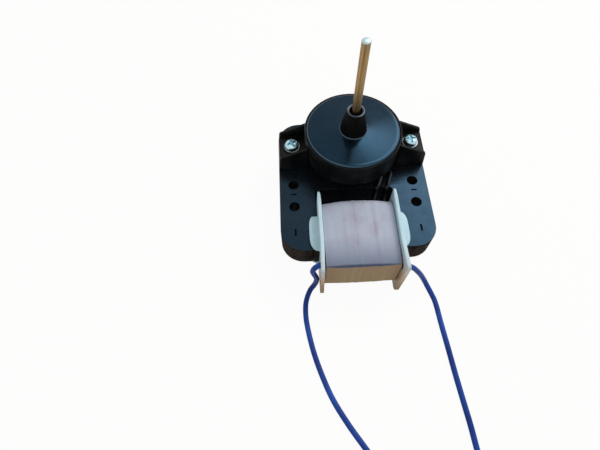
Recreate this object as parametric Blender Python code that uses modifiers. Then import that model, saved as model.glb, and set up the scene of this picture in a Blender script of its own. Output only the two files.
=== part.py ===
"""Shaded pole motor: a C-shaped lamination stack, one bobbin-wound coil with two flying leads,
four shading rings, a squirrel-cage rotor, and an oil-capped bearing housing above and below.

Metres, +Z up. Z is the shaft axis, and the origin lies on it at the flat underside of the
lower bearing housing, where the motor rests. The coil is on the -Y side of the shaft.
"""
import math

import bmesh
import bpy
from mathutils import Vector

MM = 0.001
GAP = 0.3 * MM

# Lamination stack, seen from above with the shaft axis at x = y = 0
BORE_RADIUS = 12.9 * MM
BLOCK_WALL_FRONT = 4.6 * MM
BLOCK_WALL_BACK = 4.7 * MM
POLE_BRIDGE = 1.3 * MM
POLE_NOTCH_WIDTH = 2.4 * MM
WINDOW_WIDTH = 32.0 * MM
WINDOW_DEPTH = 13.0 * MM
WINDOW_CORNER = 1.5 * MM
LIMB_WIDTH = 14.5 * MM
STACK_HEIGHT = 10.5 * MM
STACK_CORNER = 9.0 * MM
STACK_WIDTH = WINDOW_WIDTH + 2 * LIMB_WIDTH
STACK_BACK = BORE_RADIUS + BLOCK_WALL_BACK
BLOCK_FRONT = BORE_RADIUS + BLOCK_WALL_FRONT

# Bridge core, the loose leg of the stack that carries the coil
BRIDGE_DEPTH = 14.4 * MM
BRIDGE_SHOULDER = 2.5 * MM
TONGUE_STEP = 2.2 * MM
BRIDGE_BACK = BLOCK_FRONT + WINDOW_DEPTH
TONGUE_START = BRIDGE_BACK + BRIDGE_SHOULDER
STACK_FRONT = BRIDGE_BACK + BRIDGE_DEPTH

# Holes and interlock marks in the two limbs
SCREW_HOLE_RADIUS = 2.15 * MM
WINDOW_TO_HOLE = 8.66 * MM
HOLE_X = WINDOW_WIDTH / 2 + WINDOW_TO_HOLE
FREE_HOLE_Y = (-14.75 * MM, -25.16 * MM)
MARK_DEPTH = 0.4 * MM
MARK_SHORT = (2.3 * MM, 0.7 * MM)
MARK_SHORT_Y = -19.34 * MM
MARK_LONG = (0.8 * MM, 3.0 * MM)
MARK_LONG_Y = -36.85 * MM

# Shading rings: each one leaves a slot behind the pole face and comes back round the block's edge.
# The slots are stepped out from the bore, and the outer legs are stepped in from the window's sides.
RING_WIRE_RADIUS = 0.8 * MM
RING_BEND = 1.3 * MM
RING_SLIT = 0.8 * MM
RING_SLOT_STEPS = ((-0.5 * MM, -1.0 * MM), (3.5 * MM, -2.5 * MM))
RING_EDGE_STEPS = (6.6 * MM, 2.6 * MM)

# Coil
COIL_BUILD_BACK = 5.4 * MM
COIL_BUILD_FRONT = 8.8 * MM
COIL_BUILD = 4.0 * MM
COIL_CROWN = 1.0 * MM
COIL_SWELL = 0.9 * MM
COIL_CORNER = 4.5 * MM
COIL_FRONT_CORNER = 2.5 * MM
COIL_FOLD_ROUND = 0.8 * MM
COIL_FOLD_DROP = 1.3 * MM
COIL_FOLD_SLOPE = 6.0 * MM
COIL_FOLD_SHARES = (0, 0.35, 0.65, 0.85)
TAPE_THICKNESS = 0.4 * MM
COIL_BACK = BRIDGE_BACK - COIL_BUILD_BACK
COIL_FRONT = STACK_FRONT + COIL_BUILD_FRONT

# Bobbin
FLANGE_CLEARANCE = 0.25 * MM
FLANGE_THICKNESS = 1.5 * MM
FLANGE_MARGIN_BACK = 3.1 * MM
FLANGE_MARGIN_FRONT = 3.0 * MM
FLANGE_MARGIN_TOP = 2.7 * MM
FLANGE_CORNER = 1.5 * MM
SLEEVE_WALL = 0.8 * MM
TAB_REACH = 3.6 * MM
TAB_HALF_LENGTH = 7.9 * MM
TAB_SQUARENESS = 4
TAB_CUT = 1.0 * MM
TAB_THICKNESS = 1.2 * MM
LEAD_HOLE_RADIUS = 1.4 * MM
LEAD_HOLE_INSET = 4.0 * MM
LEFT_HOLE_RISE = 3.9 * MM
RIGHT_HOLE_RISE = 0.0 * MM
FLANGE_OUTER_X = WINDOW_WIDTH / 2 - FLANGE_CLEARANCE
FLANGE_BACK = COIL_BACK - FLANGE_MARGIN_BACK
FLANGE_FRONT = COIL_FRONT + FLANGE_MARGIN_FRONT
FLANGE_TOP_RISE = COIL_BUILD + FLANGE_MARGIN_TOP

# Bearings
SHAFT_RADIUS = 1.5875 * MM
BEARING_RADIUS = 3.6 * MM
UPPER_BEARING_LENGTH = 7.0 * MM
HUB_WALL = 1.8 * MM
HUB_LIP = 0.5 * MM
LIP_INSET = 1.2 * MM
HUB_BORE = BEARING_RADIUS + GAP
HUB_RADIUS = HUB_BORE + HUB_WALL
LIP_RADIUS = HUB_BORE - LIP_INSET

# Shaft and rotor
SHAFT_RISE = 57.8 * MM
SHAFT_LIFT = 0.8 * MM
SHAFT_TIP_CHAMFER = 0.5 * MM
AIR_GAP = 0.4 * MM
ROTOR_BARS = 17
BAR_SLOT_WIDTH = 1.9 * MM
BAR_DEPTH = 2.7 * MM
END_RING_HEIGHT = 2.7 * MM
END_RING_TO_HUB = 1.8 * MM
SKEW = math.radians(360 / ROTOR_BARS)
THRUST_WASHER_INSET = 0.2 * MM
THRUST_WASHER_THICKNESS = 0.7 * MM
END_RING_INNER = HUB_RADIUS + END_RING_TO_HUB
THRUST_WASHER_RADIUS = BEARING_RADIUS - THRUST_WASHER_INSET

# Upper bearing housing: heights are above the top of the stack. The cup stops short of the screws
CUP_TO_SCREW = 5.16 * MM
CUP_RADIUS = HOLE_X - CUP_TO_SCREW
CUP_BOTTOM_RISE = 4.9 * MM
CUP_RIM_RISE = 15.9 * MM
CUP_FLOOR = 1.5 * MM
CUP_WALL = 1.7 * MM
RIM_WALL = 0.45 * MM
ARM_WALL_Y = 7.05 * MM
ARM_WALL = 1.2 * MM
ARM_END_INSET = 0.1 * MM
ARM_END_X = STACK_WIDTH / 2 - ARM_END_INSET
ARM_END_LEAN = 0.5 * MM
ARM_ROOT_RISE = 13.0 * MM
ARM_TIP_RISE = 7.77 * MM
ARM_TIP_ROUND = 1.2 * MM
ARM_FLOOR_RISE = 6.2 * MM
ARM_FLOOR = 1.3 * MM
SCREW_BOSS_RADIUS = 3.5 * MM
FELT_MARGIN = 2.8 * MM
FELT_HEIGHT = 4.5 * MM

# Oil cap, with a conical neck round the shaft
CAP_PROUD = 0.45 * MM
CAP_THICKNESS = 2.0 * MM
CAP_EDGE_ROUND = 0.6 * MM
NECK_CLEARANCE = 0.9125 * MM
NECK_WALL = 1.07 * MM
NECK_SPREAD = 1.78 * MM
NECK_HEIGHT = 10.35 * MM
CAP_RADIUS = CUP_RADIUS - RIM_WALL - GAP
CAP_TOP_RISE = CUP_RIM_RISE + CAP_PROUD
NECK_BORE_RADIUS = SHAFT_RADIUS + NECK_CLEARANCE
NECK_TOP_RADIUS = NECK_BORE_RADIUS + NECK_WALL
NECK_BASE_RADIUS = NECK_TOP_RADIUS + NECK_SPREAD
NECK_TOP_RISE = CAP_TOP_RISE + NECK_HEIGHT

# Screws, washers and nuts
SCREW_RADIUS = 1.8 * MM
SCREW_HEAD_RADIUS = 2.9 * MM
SCREW_HEAD_HEIGHT = 1.9 * MM
SCREW_END = 0.8 * MM
RECESS_LENGTH = 3.0 * MM
RECESS_WIDTH = 0.8 * MM
RECESS_DEPTH = 1.0 * MM
WASHER_RADIUS = 3.3 * MM
WASHER_THICKNESS = 0.5 * MM
NUT_ACROSS_FLATS = 7.0 * MM
NUT_HEIGHT = 2.9 * MM
NUT_TURN = 30

# Lower bearing housing: heights are above its own underside. Its pan stops short of the rings
PAN_DEPTH = 7.9 * MM
PAN_STEP = 2.5 * MM
PAN_RADIUS = BORE_RADIUS + PAN_STEP
PAN_FOOT_STEP = 2.0 * MM
PAN_FOOT_RADIUS = PAN_RADIUS - PAN_FOOT_STEP
PAN_WALL = 1.5 * MM
PAN_FLOOR = 1.4 * MM
PAN_TAPER = 0.6 * MM
LOWER_ARM_THICKNESS = 2.7 * MM
LOWER_ARM_HALF_WIDTH = 6.4 * MM
LOWER_ARM_POCKET = 1.0 * MM
LOWER_ARM_RIB = 1.2 * MM
LOWER_ARM_CORNER = 4.0 * MM
NUT_TO_RIB = 0.54 * MM
LOWER_ARM_END_X = HOLE_X + NUT_ACROSS_FLATS / 2 + NUT_TO_RIB + LOWER_ARM_RIB

# Leads: routes and tangent points in millimetres, chosen by hand
LEAD_RADIUS = 1.05 * MM
LEAD_REST = 1.1 * MM
LEAD_STEP = 3.5 * MM
LEAD_COIL_RADIUS = 11.0 * MM
LEAD_COIL_TURNS = 3
LEFT_ROUTE = [(-14.6, -52.7, 22.3), (-16.2, -52.7, 22.3), (-18.1, -53.0, 20.6), (-18.9, -53.1, 17.5),
              (-18.2, -53.1, 14.2), (-17.4, -53.1, 11.0), (-17.3, -53.2, 7.6), (-18.1, -53.7, 4.5),
              (-19.8, -55.0, 2.1), (-21.4, -58.6, 1.1), (-22.0, -62.8, 1.1), (-21.7, -68.8, 1.1),
              (-19.9, -78.5, 1.1), (-17.2, -87.6, 1.1), (-13.7, -96.4, 1.1), (-8.9, -104.8, 1.1),
              (-3.5, -112.8, 1.1)]
LEFT_COIL_TANGENT = (3.0, -122.7)
LEFT_COIL_HEADING = -55.0
RIGHT_ROUTE = [(14.6, -52.7, 18.4), (16.4, -52.7, 18.3), (19.2, -52.9, 16.3), (21.8, -53.1, 12.6),
               (24.1, -53.3, 8.6), (25.9, -54.1, 5.3), (27.6, -56.0, 2.7), (29.1, -59.0, 1.4),
               (30.0, -62.5, 1.1), (30.6, -71.1, 1.1), (31.4, -80.7, 1.1), (32.1, -89.8, 1.1),
               (32.9, -98.4, 1.1), (33.7, -106.6, 1.1), (34.2, -114.4, 1.1)]
RIGHT_COIL_TANGENT = (35.2, -127.5)
RIGHT_COIL_HEADING = -86.0

# Heights worked out from the sizes above
STACK_BOTTOM = PAN_DEPTH
STACK_TOP = STACK_BOTTOM + STACK_HEIGHT
ROTOR_RADIUS = BORE_RADIUS - AIR_GAP
SHAFT_BOTTOM = PAN_FLOOR + SHAFT_LIFT
WASHER_BORE = SHAFT_RADIUS + GAP
THRUST_STACK = THRUST_WASHER_THICKNESS + 2 * GAP
UPPER_LIP_BOTTOM = STACK_TOP + THRUST_STACK
UPPER_BEARING_BOTTOM = UPPER_LIP_BOTTOM + HUB_LIP + GAP
UPPER_HUB_TOP = UPPER_BEARING_BOTTOM + UPPER_BEARING_LENGTH + GAP
LOWER_HUB_TOP = STACK_BOTTOM - THRUST_STACK
LOWER_BEARING_LENGTH = LOWER_HUB_TOP - PAN_FLOOR - 2 * GAP
CUP_INNER = CUP_RADIUS - CUP_WALL
FELT_RADIUS = CUP_INNER - FELT_MARGIN
CUP_BOTTOM = STACK_TOP + CUP_BOTTOM_RISE
CUP_FLOOR_TOP = CUP_BOTTOM + CUP_FLOOR
CAP_BOTTOM = STACK_TOP + CAP_TOP_RISE - CAP_THICKNESS
ARM_FLOOR_TOP = STACK_TOP + ARM_FLOOR_RISE
NUT_TOP = STACK_BOTTOM - GAP - LOWER_ARM_THICKNESS + LOWER_ARM_POCKET - GAP
PASS = 1.0 * MM


# Scene and material helpers

def clear_scene():
    for obj in list(bpy.data.objects):
        bpy.data.objects.remove(obj, do_unlink=True)


def new_collection(name):
    group = bpy.data.collections.new(name)
    bpy.context.scene.collection.children.link(group)
    return group


def make_material(name, colour, roughness, metallic):
    material = bpy.data.materials.new(name)
    material.use_nodes = True
    shader = material.node_tree.nodes["Principled BSDF"]
    shader.inputs["Base Color"].default_value = (*colour, 1.0)
    shader.inputs["Roughness"].default_value = roughness
    shader.inputs["Metallic"].default_value = metallic
    return material


def add_part(name, mesh, material):
    obj = bpy.data.objects.new(name, mesh)
    mesh.materials.clear()
    mesh.materials.append(material)
    mesh.shade_smooth()
    mesh.set_sharp_from_angle(angle=math.radians(35))
    PARTS.objects.link(obj)
    return obj


def add_cutter(name, mesh):
    obj = bpy.data.objects.new(name, mesh)
    obj.hide_render = True
    obj.display_type = 'WIRE'
    CUTTERS.objects.link(obj)
    return obj


def combine(target, operation, cutter):
    modifier = target.modifiers.new(cutter.name, 'BOOLEAN')
    modifier.operation = operation
    modifier.solver = 'EXACT'
    modifier.object = cutter
    return target


def cut(target, cutter):
    return combine(target, 'DIFFERENCE', cutter)


def join(target, cutter):
    return combine(target, 'UNION', cutter)


def to_mesh(name, bm):
    bmesh.ops.recalc_face_normals(bm, faces=bm.faces)
    if bm.calc_volume(signed=True) < 0:
        bmesh.ops.reverse_faces(bm, faces=bm.faces)
    mesh = bpy.data.meshes.new(name)
    bm.to_mesh(mesh)
    bm.free()
    return mesh


# Outlines

def arc(centre, radius, start, end, steps):
    points = []
    for i in range(steps + 1):
        angle = math.radians(start + (end - start) * i / steps)
        points.append((centre[0] + radius * math.cos(angle), centre[1] + radius * math.sin(angle)))
    return points


def circle(centre, radius, steps):
    return arc(centre, radius, 0, 360, steps)[:-1]


def rounded_rectangle(low, high, radius, steps=6):
    (x0, y0), (x1, y1) = low, high
    points = arc((x1 - radius, y1 - radius), radius, 0, 90, steps)
    points += arc((x0 + radius, y1 - radius), radius, 90, 180, steps)
    points += arc((x0 + radius, y0 + radius), radius, 180, 270, steps)
    points += arc((x1 - radius, y0 + radius), radius, 270, 360, steps)
    return points


def mirrored(points):
    """A symmetric outline from its right half, listed from the -Y end to the +Y end."""
    return points + [(-x, y) for x, y in reversed(points)]


# Solids

def prism(name, outlines, levels, place=None):
    """Fill outlines of (u, v) points as a 2D curve and extrude the face through the levels.

    place(u, v, level), where given, moves each point afterwards, for instance to twist the solid.
    """
    curve = bpy.data.curves.new(name, 'CURVE')
    curve.dimensions = '2D'
    curve.fill_mode = 'BOTH'
    curve.resolution_u = 1
    curve.render_resolution_u = 0
    for outline in outlines:
        spline = curve.splines.new('POLY')
        spline.points.add(len(outline) - 1)
        spline.use_cyclic_u = True
        for point, (u, v) in zip(spline.points, outline):
            point.co = (u, v, 0, 1)
    holder = bpy.data.objects.new(name, curve)
    bpy.context.scene.collection.objects.link(holder)
    graph = bpy.context.evaluated_depsgraph_get()
    flat = bpy.data.meshes.new_from_object(holder.evaluated_get(graph))
    bpy.data.objects.remove(holder, do_unlink=True)
    bpy.data.curves.remove(curve)

    bm = bmesh.new()
    bm.from_mesh(flat)
    bpy.data.meshes.remove(flat)
    bmesh.ops.remove_doubles(bm, verts=bm.verts, dist=1e-6)
    bmesh.ops.translate(bm, verts=bm.verts, vec=(0, 0, levels[0]))
    base = list(bm.faces)
    faces = base
    for low, high in zip(levels, levels[1:]):
        grown = bmesh.ops.extrude_face_region(bm, geom=faces)["geom"]
        if faces is not base:
            bmesh.ops.delete(bm, geom=faces, context='FACES')
        faces = [item for item in grown if isinstance(item, bmesh.types.BMFace)]
        verts = [item for item in grown if isinstance(item, bmesh.types.BMVert)]
        bmesh.ops.translate(bm, verts=verts, vec=(0, 0, high - low))
    if place:
        for vert in bm.verts:
            vert.co = place(*vert.co)
    return to_mesh(name, bm)


def turned(name, profile, steps, material=None, closed=True):
    """A profile of (radius, height) points turned about Z by a Screw modifier.

    It runs down the outer side; a profile with both ends on the axis is given as not closed.
    """
    mesh = bpy.data.meshes.new(name)
    edges = [(i, i + 1) for i in range(len(profile) - 1)]
    if closed:
        edges.append((len(profile) - 1, 0))
    mesh.from_pydata([(radius, 0, height) for radius, height in profile], edges, [])
    obj = add_part(name, mesh, material) if material else add_cutter(name, mesh)
    screw = obj.modifiers.new("turn", 'SCREW')
    screw.steps = steps
    screw.render_steps = steps
    screw.use_merge_vertices = True
    screw.merge_threshold = 1e-6
    screw.use_smooth_shade = bool(material)
    return obj


def cylinders(name, centres, radius, bottom, top, steps):
    """One mesh of upright cylinders."""
    bm = bmesh.new()
    for x, y in centres:
        made = bmesh.ops.create_cone(bm, cap_ends=True, segments=steps, radius1=radius, radius2=radius,
                                     depth=top - bottom)
        bmesh.ops.translate(bm, verts=made["verts"], vec=(x, y, (bottom + top) / 2))
    return to_mesh(name, bm)


def boxes(name, spans):
    """One mesh of boxes, each given by its low and high corner."""
    bm = bmesh.new()
    for low, high in spans:
        low, high = Vector(low), Vector(high)
        made = bmesh.ops.create_cube(bm, size=1)
        bmesh.ops.scale(bm, verts=made["verts"], vec=high - low)
        bmesh.ops.translate(bm, verts=made["verts"], vec=(low + high) / 2)
    return to_mesh(name, bm)


def tube(name, points, radius, material, cyclic=False, sides=2):
    curve = bpy.data.curves.new(name, 'CURVE')
    curve.dimensions = '3D'
    curve.bevel_depth = radius
    curve.bevel_resolution = sides
    curve.use_fill_caps = not cyclic
    curve.render_resolution_u = 0
    spline = curve.splines.new('POLY')
    spline.points.add(len(points) - 1)
    spline.use_cyclic_u = cyclic
    for point, position in zip(spline.points, points):
        point.co = (*position, 1)
    curve.materials.append(material)
    obj = bpy.data.objects.new(name, curve)
    PARTS.objects.link(obj)
    return obj


# Lamination stack

def window_outline():
    """The opening between the limbs, from the pole block out past the open front of the stack."""
    half = WINDOW_WIDTH / 2
    wide = half + TONGUE_STEP
    right = [(wide, -STACK_FRONT - PASS), (wide, -TONGUE_START - TONGUE_STEP), (half, -TONGUE_START)]
    right += arc((half - WINDOW_CORNER, -BLOCK_FRONT - WINDOW_CORNER), WINDOW_CORNER, 0, 90, 3)
    return mirrored(right)


def bridge_outline():
    """The bridge core lies GAP inside the window and carries a tongue into each limb."""
    half = WINDOW_WIDTH / 2 - GAP
    wide = half + TONGUE_STEP
    right = [(wide, -STACK_FRONT), (wide, -TONGUE_START - TONGUE_STEP - GAP), (half, -TONGUE_START - GAP)]
    right += [(half, -BRIDGE_BACK)]
    return mirrored(right)


def ring_slots():
    """Centres (x, y) of the slots of the two rings on the back pole, for positive x."""
    return [(BORE_RADIUS + step_x, BORE_RADIUS + step_y) for step_x, step_y in RING_SLOT_STEPS]


def slot_places():
    """Centres of the four slots that the shading rings pass through, two on each pole."""
    front = [(x, -y) for x, y in ring_slots()]
    back = [(-x, y) for x, y in ring_slots()]
    return front + back


def radial_slit(centre, width):
    """A thin strip from inside the bore out to a slot."""
    distance = math.hypot(*centre)
    along = Vector(centre) / distance
    across = Vector((-along.y, along.x)) * width / 2
    inner = along * (BORE_RADIUS - PASS)
    outer = along * distance
    return [tuple(inner - across), tuple(outer - across), tuple(outer + across), tuple(inner + across)]


def build_stator(steel):
    outline = rounded_rectangle((-STACK_WIDTH / 2, -STACK_FRONT), (STACK_WIDTH / 2, STACK_BACK), STACK_CORNER, 8)
    core = add_part("stator_core", prism("stator_core", [outline], [STACK_BOTTOM, STACK_TOP]), steel)
    low, high = STACK_BOTTOM - PASS, STACK_TOP + PASS
    cut(core, add_cutter("window_cut", prism("window_cut", [window_outline()], [low, high])))
    cut(core, add_cutter("bore_cut", cylinders("bore_cut", [(0, 0)], BORE_RADIUS, low, high, 48)))

    notch = POLE_NOTCH_WIDTH / 2
    spans = [((-notch, -BLOCK_FRONT + POLE_BRIDGE, low), (notch, 0, high)),
             ((-notch, 0, low), (notch, STACK_BACK - POLE_BRIDGE, high))]
    cut(core, add_cutter("pole_notch_cut", boxes("pole_notch_cut", [spans[0]])))
    cut(core, add_cutter("back_notch_cut", boxes("back_notch_cut", [spans[1]])))

    slots = slot_places()
    cut(core, add_cutter("ring_slot_cut", cylinders("ring_slot_cut", slots, RING_WIRE_RADIUS + GAP, low, high, 12)))
    for number, slot in enumerate(slots, 1):
        name = f"ring_slit_cut_{number}"
        cut(core, add_cutter(name, prism(name, [radial_slit(slot, RING_SLIT)], [low, high])))

    holes = [(side * HOLE_X, y) for side in (-1, 1) for y in (0, *FREE_HOLE_Y)]
    cut(core, add_cutter("screw_hole_cut", cylinders("screw_hole_cut", holes, SCREW_HOLE_RADIUS, low, high, 20)))
    marks = []
    for side in (-1, 1):
        for (length, width), y in ((MARK_SHORT, MARK_SHORT_Y), (MARK_LONG, MARK_LONG_Y)):
            marks.append(((side * HOLE_X - length / 2, y - width / 2, STACK_TOP - MARK_DEPTH),
                          (side * HOLE_X + length / 2, y + width / 2, high)))
    cut(core, add_cutter("interlock_mark_cut", boxes("interlock_mark_cut", marks)))

    add_part("bridge_core", prism("bridge_core", [bridge_outline()], [STACK_BOTTOM, STACK_TOP]), steel)


def ring_points(slot, edge):
    """A rounded upright loop, down through the slot and up past the block's edge."""
    slot, edge = Vector(slot), Vector(edge)
    span = (edge - slot).length
    along = (edge - slot) / span
    low = STACK_BOTTOM - GAP - RING_WIRE_RADIUS
    high = STACK_TOP + GAP + RING_WIRE_RADIUS
    loop = rounded_rectangle((0, low), (span, high), RING_BEND, 3)
    return [(*(slot + along * distance), height) for distance, height in loop]


def build_shading_rings(copper):
    clear = GAP + RING_WIRE_RADIUS
    for letter, (x, y), edge_step in zip("ab", ring_slots(), RING_EDGE_STEPS):
        edge_x = WINDOW_WIDTH / 2 - edge_step
        front = ring_points((x, -y), (edge_x, -BLOCK_FRONT - clear))
        back = ring_points((-x, y), (-edge_x, STACK_BACK + clear))
        tube(f"shading_ring_front_{letter}", front, RING_WIRE_RADIUS, copper, cyclic=True)
        tube(f"shading_ring_back_{letter}", back, RING_WIRE_RADIUS, copper, cyclic=True)


# Bobbin and coil, whose outlines are (y, z) and whose levels run along X

def along_x(y, z, x):
    return Vector((x, y, z))


def build_bobbin(nylon):
    inner = FLANGE_OUTER_X - FLANGE_THICKNESS
    clear = GAP + SLEEVE_WALL
    sleeve = rounded_rectangle((-STACK_FRONT - clear, STACK_BOTTOM - clear),
                               (-BRIDGE_BACK + clear, STACK_TOP + clear), SLEEVE_WALL, 3)
    levels = [-inner - FLANGE_THICKNESS / 2, inner + FLANGE_THICKNESS / 2]
    bobbin = add_part("bobbin", prism("bobbin", [sleeve], levels, along_x), nylon)

    flange = rounded_rectangle((-FLANGE_FRONT, 0), (-FLANGE_BACK, STACK_TOP + FLANGE_TOP_RISE), FLANGE_CORNER, 5)
    hole_y = LEAD_HOLE_INSET - FLANGE_FRONT
    for side, label, hole_rise, tab_cut in ((-1, "left", LEFT_HOLE_RISE, TAB_CUT), (1, "right", RIGHT_HOLE_RISE, 0)):
        faces = sorted((side * inner, side * FLANGE_OUTER_X))
        name = f"{label}_flange"
        plate = add_cutter(name, prism(name, [flange], faces, along_x))
        hole_outline = circle((hole_y, STACK_TOP + hole_rise), LEAD_HOLE_RADIUS, 14)
        through = sorted((side * (inner - PASS), side * (FLANGE_OUTER_X + PASS)))
        name = f"{label}_lead_hole"
        cut(plate, add_cutter(name, prism(name, [hole_outline], through, along_x)))
        join(bobbin, plate)

        outline = tab_outline(side, tab_cut)
        for place, low in (("top", STACK_TOP + GAP), ("bottom", STACK_BOTTOM - GAP - TAB_THICKNESS)):
            name = f"{label}_{place}_tab"
            join(bobbin, add_cutter(name, prism(name, [outline], [low, low + TAB_THICKNESS])))

    reach = FLANGE_OUTER_X + PASS
    passage = boxes("bridge_passage", [((-reach, -STACK_FRONT - GAP, STACK_BOTTOM - GAP),
                                        (reach, -BRIDGE_BACK + GAP, STACK_TOP + GAP))])
    cut(bobbin, add_cutter("bridge_passage", passage))


def tab_outline(side, cut_back):
    """A flat-sided bulge beside the bridge core, with its +Y end cut off square."""
    middle = -(STACK_FRONT + BRIDGE_BACK) / 2
    root = side * (FLANGE_OUTER_X - FLANGE_THICKNESS / 2)
    start, end = -TAB_HALF_LENGTH, TAB_HALF_LENGTH - cut_back
    points = [(root, middle + end), (root, middle + start)]
    steps = 12
    for i in range(steps + 1):
        along = start + (end - start) * (1 - math.cos(math.pi * i / steps)) / 2
        reach = TAB_REACH * math.sqrt(max(0, 1 - (along / TAB_HALF_LENGTH) ** TAB_SQUARENESS))
        points.append((side * (FLANGE_OUTER_X + reach), middle + along))
    return points


def coil_section(inset):
    """The outline of the coil at its ends, drawn in by the inset.

    The top slopes down to a sharper fold at the front; the other corners are rounded.
    """
    front, back = -COIL_FRONT + inset, -COIL_BACK - inset
    low, high = STACK_BOTTOM - COIL_BUILD + inset, STACK_TOP + COIL_BUILD - inset
    corner = COIL_CORNER - inset
    points = arc((back - corner, high - corner), corner, 0, 90, 6)
    for share in COIL_FOLD_SHARES:
        points.append((front + COIL_FOLD_SLOPE * (1 - share), high - COIL_FOLD_DROP * share ** 2))
    fold = COIL_FOLD_ROUND - inset
    points += arc((front + fold, high - COIL_FOLD_DROP - fold), fold, 110, 180, 3)
    corner_front = COIL_FRONT_CORNER - inset
    points += arc((front + corner_front, low + corner_front), corner_front, 180, 270, 5)
    points += arc((back - corner, low + corner), corner, 270, 360, 6)
    return points


def sleeve_passage(clear, corner):
    low = (-STACK_FRONT - clear, STACK_BOTTOM - clear)
    high = (-BRIDGE_BACK + clear, STACK_TOP + clear)
    return rounded_rectangle(low, high, corner, 3)


def build_coil(copper, tape):
    end = FLANGE_OUTER_X - FLANGE_THICKNESS - GAP
    middle_y = -(COIL_FRONT + COIL_BACK) / 2
    middle_z = (STACK_BOTTOM + STACK_TOP) / 2
    half_depth = (COIL_FRONT - COIL_BACK) / 2
    half_height = STACK_HEIGHT / 2 + COIL_BUILD

    def crowned(y, z, x):
        share = 1 - (x / end) ** 2
        back = max(0, y - middle_y) / half_depth
        rise = (z - middle_z) / half_height
        return Vector((x, y + COIL_SWELL * share * back, z + COIL_CROWN * share * rise))

    levels = [end * share for share in (-1, -0.6, -0.2, 0.2, 0.6, 1)]
    outer = coil_section(0)
    inner = coil_section(TAPE_THICKNESS)
    add_part("coil_tape", prism("coil_tape", [outer, inner], levels, crowned), tape)

    wire = coil_section(TAPE_THICKNESS + GAP)
    clear = 2 * GAP + SLEEVE_WALL
    winding = prism("coil_winding", [wire, sleeve_passage(clear + COIL_CROWN * 0.3, SLEEVE_WALL)], levels, crowned)
    add_part("coil_winding", winding, copper)


# Shaft and rotor, which turn together about Z

def on_rotor(obj):
    obj.parent = ROTOR_AXIS
    return obj


def twisted(x, y, z):
    turn = SKEW * (z - STACK_BOTTOM) / STACK_HEIGHT
    return Vector((x * math.cos(turn) - y * math.sin(turn), x * math.sin(turn) + y * math.cos(turn), z))


def rotor_outline():
    """A round section with an open slot for each bar."""
    points = []
    floor = ROTOR_RADIUS - BAR_DEPTH
    half = BAR_SLOT_WIDTH / 2
    swing = math.degrees(math.asin(half / ROTOR_RADIUS))
    for number in range(ROTOR_BARS):
        turn = 360 / ROTOR_BARS * number
        along = Vector((math.cos(math.radians(turn)), math.sin(math.radians(turn))))
        across = Vector((-along.y, along.x)) * half
        points += [tuple(along * floor - across), tuple(along * floor + across)]
        points += arc((0, 0), ROTOR_RADIUS, turn + swing, turn + 360 / ROTOR_BARS - swing, 2)
    return points


def bar_outline(number):
    turn = math.radians(360 / ROTOR_BARS * number)
    along = Vector((math.cos(turn), math.sin(turn)))
    across = Vector((-along.y, along.x)) * (BAR_SLOT_WIDTH / 2 - GAP)
    inner = along * (ROTOR_RADIUS - BAR_DEPTH + GAP)
    outer = along * (ROTOR_RADIUS - GAP)
    return [tuple(inner - across), tuple(outer - across), tuple(outer + across), tuple(inner + across)]


def build_rotor(steel, laminated, aluminium, bronze):
    top = STACK_TOP + SHAFT_RISE
    tip = SHAFT_RADIUS - SHAFT_TIP_CHAMFER
    profile = [(0, top), (tip, top), (SHAFT_RADIUS, top - SHAFT_TIP_CHAMFER),
               (SHAFT_RADIUS, SHAFT_BOTTOM + SHAFT_TIP_CHAMFER), (tip, SHAFT_BOTTOM), (0, SHAFT_BOTTOM)]
    on_rotor(turned("shaft", profile, 20, steel, closed=False))

    bore = circle((0, 0), WASHER_BORE, 20)
    levels = [STACK_BOTTOM, STACK_BOTTOM + STACK_HEIGHT / 2, STACK_TOP]
    on_rotor(add_part("rotor_core", prism("rotor_core", [rotor_outline(), bore], levels, twisted), laminated))

    ring_outer = ROTOR_RADIUS - GAP
    low = STACK_BOTTOM - GAP - END_RING_HEIGHT
    high = STACK_TOP + GAP
    ring = [(ring_outer, low + END_RING_HEIGHT), (ring_outer, low), (END_RING_INNER, low),
            (END_RING_INNER, low + END_RING_HEIGHT)]
    cage = on_rotor(turned("rotor_cage", ring, 34, aluminium))
    upper = [(radius, height - low + high) for radius, height in ring]
    join(cage, turned("upper_end_ring", upper, 34))
    overlap = END_RING_HEIGHT / 2
    levels = [STACK_BOTTOM - GAP - overlap, *levels, STACK_TOP + GAP + overlap]
    bars = bmesh.new()
    for number in range(ROTOR_BARS):
        bar = prism("bar", [bar_outline(number)], levels, twisted)
        bars.from_mesh(bar)
        bpy.data.meshes.remove(bar)
    join(cage, add_cutter("rotor_bars", to_mesh("rotor_bars", bars)))

    for name, low in (("upper_thrust_washer", STACK_TOP + GAP),
                      ("lower_thrust_washer", STACK_BOTTOM - GAP - THRUST_WASHER_THICKNESS)):
        high = low + THRUST_WASHER_THICKNESS
        washer = [(THRUST_WASHER_RADIUS, high), (THRUST_WASHER_RADIUS, low), (WASHER_BORE, low), (WASHER_BORE, high)]
        on_rotor(turned(name, washer, 24, bronze))


# Upper bearing housing, oil cap and bearing

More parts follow.
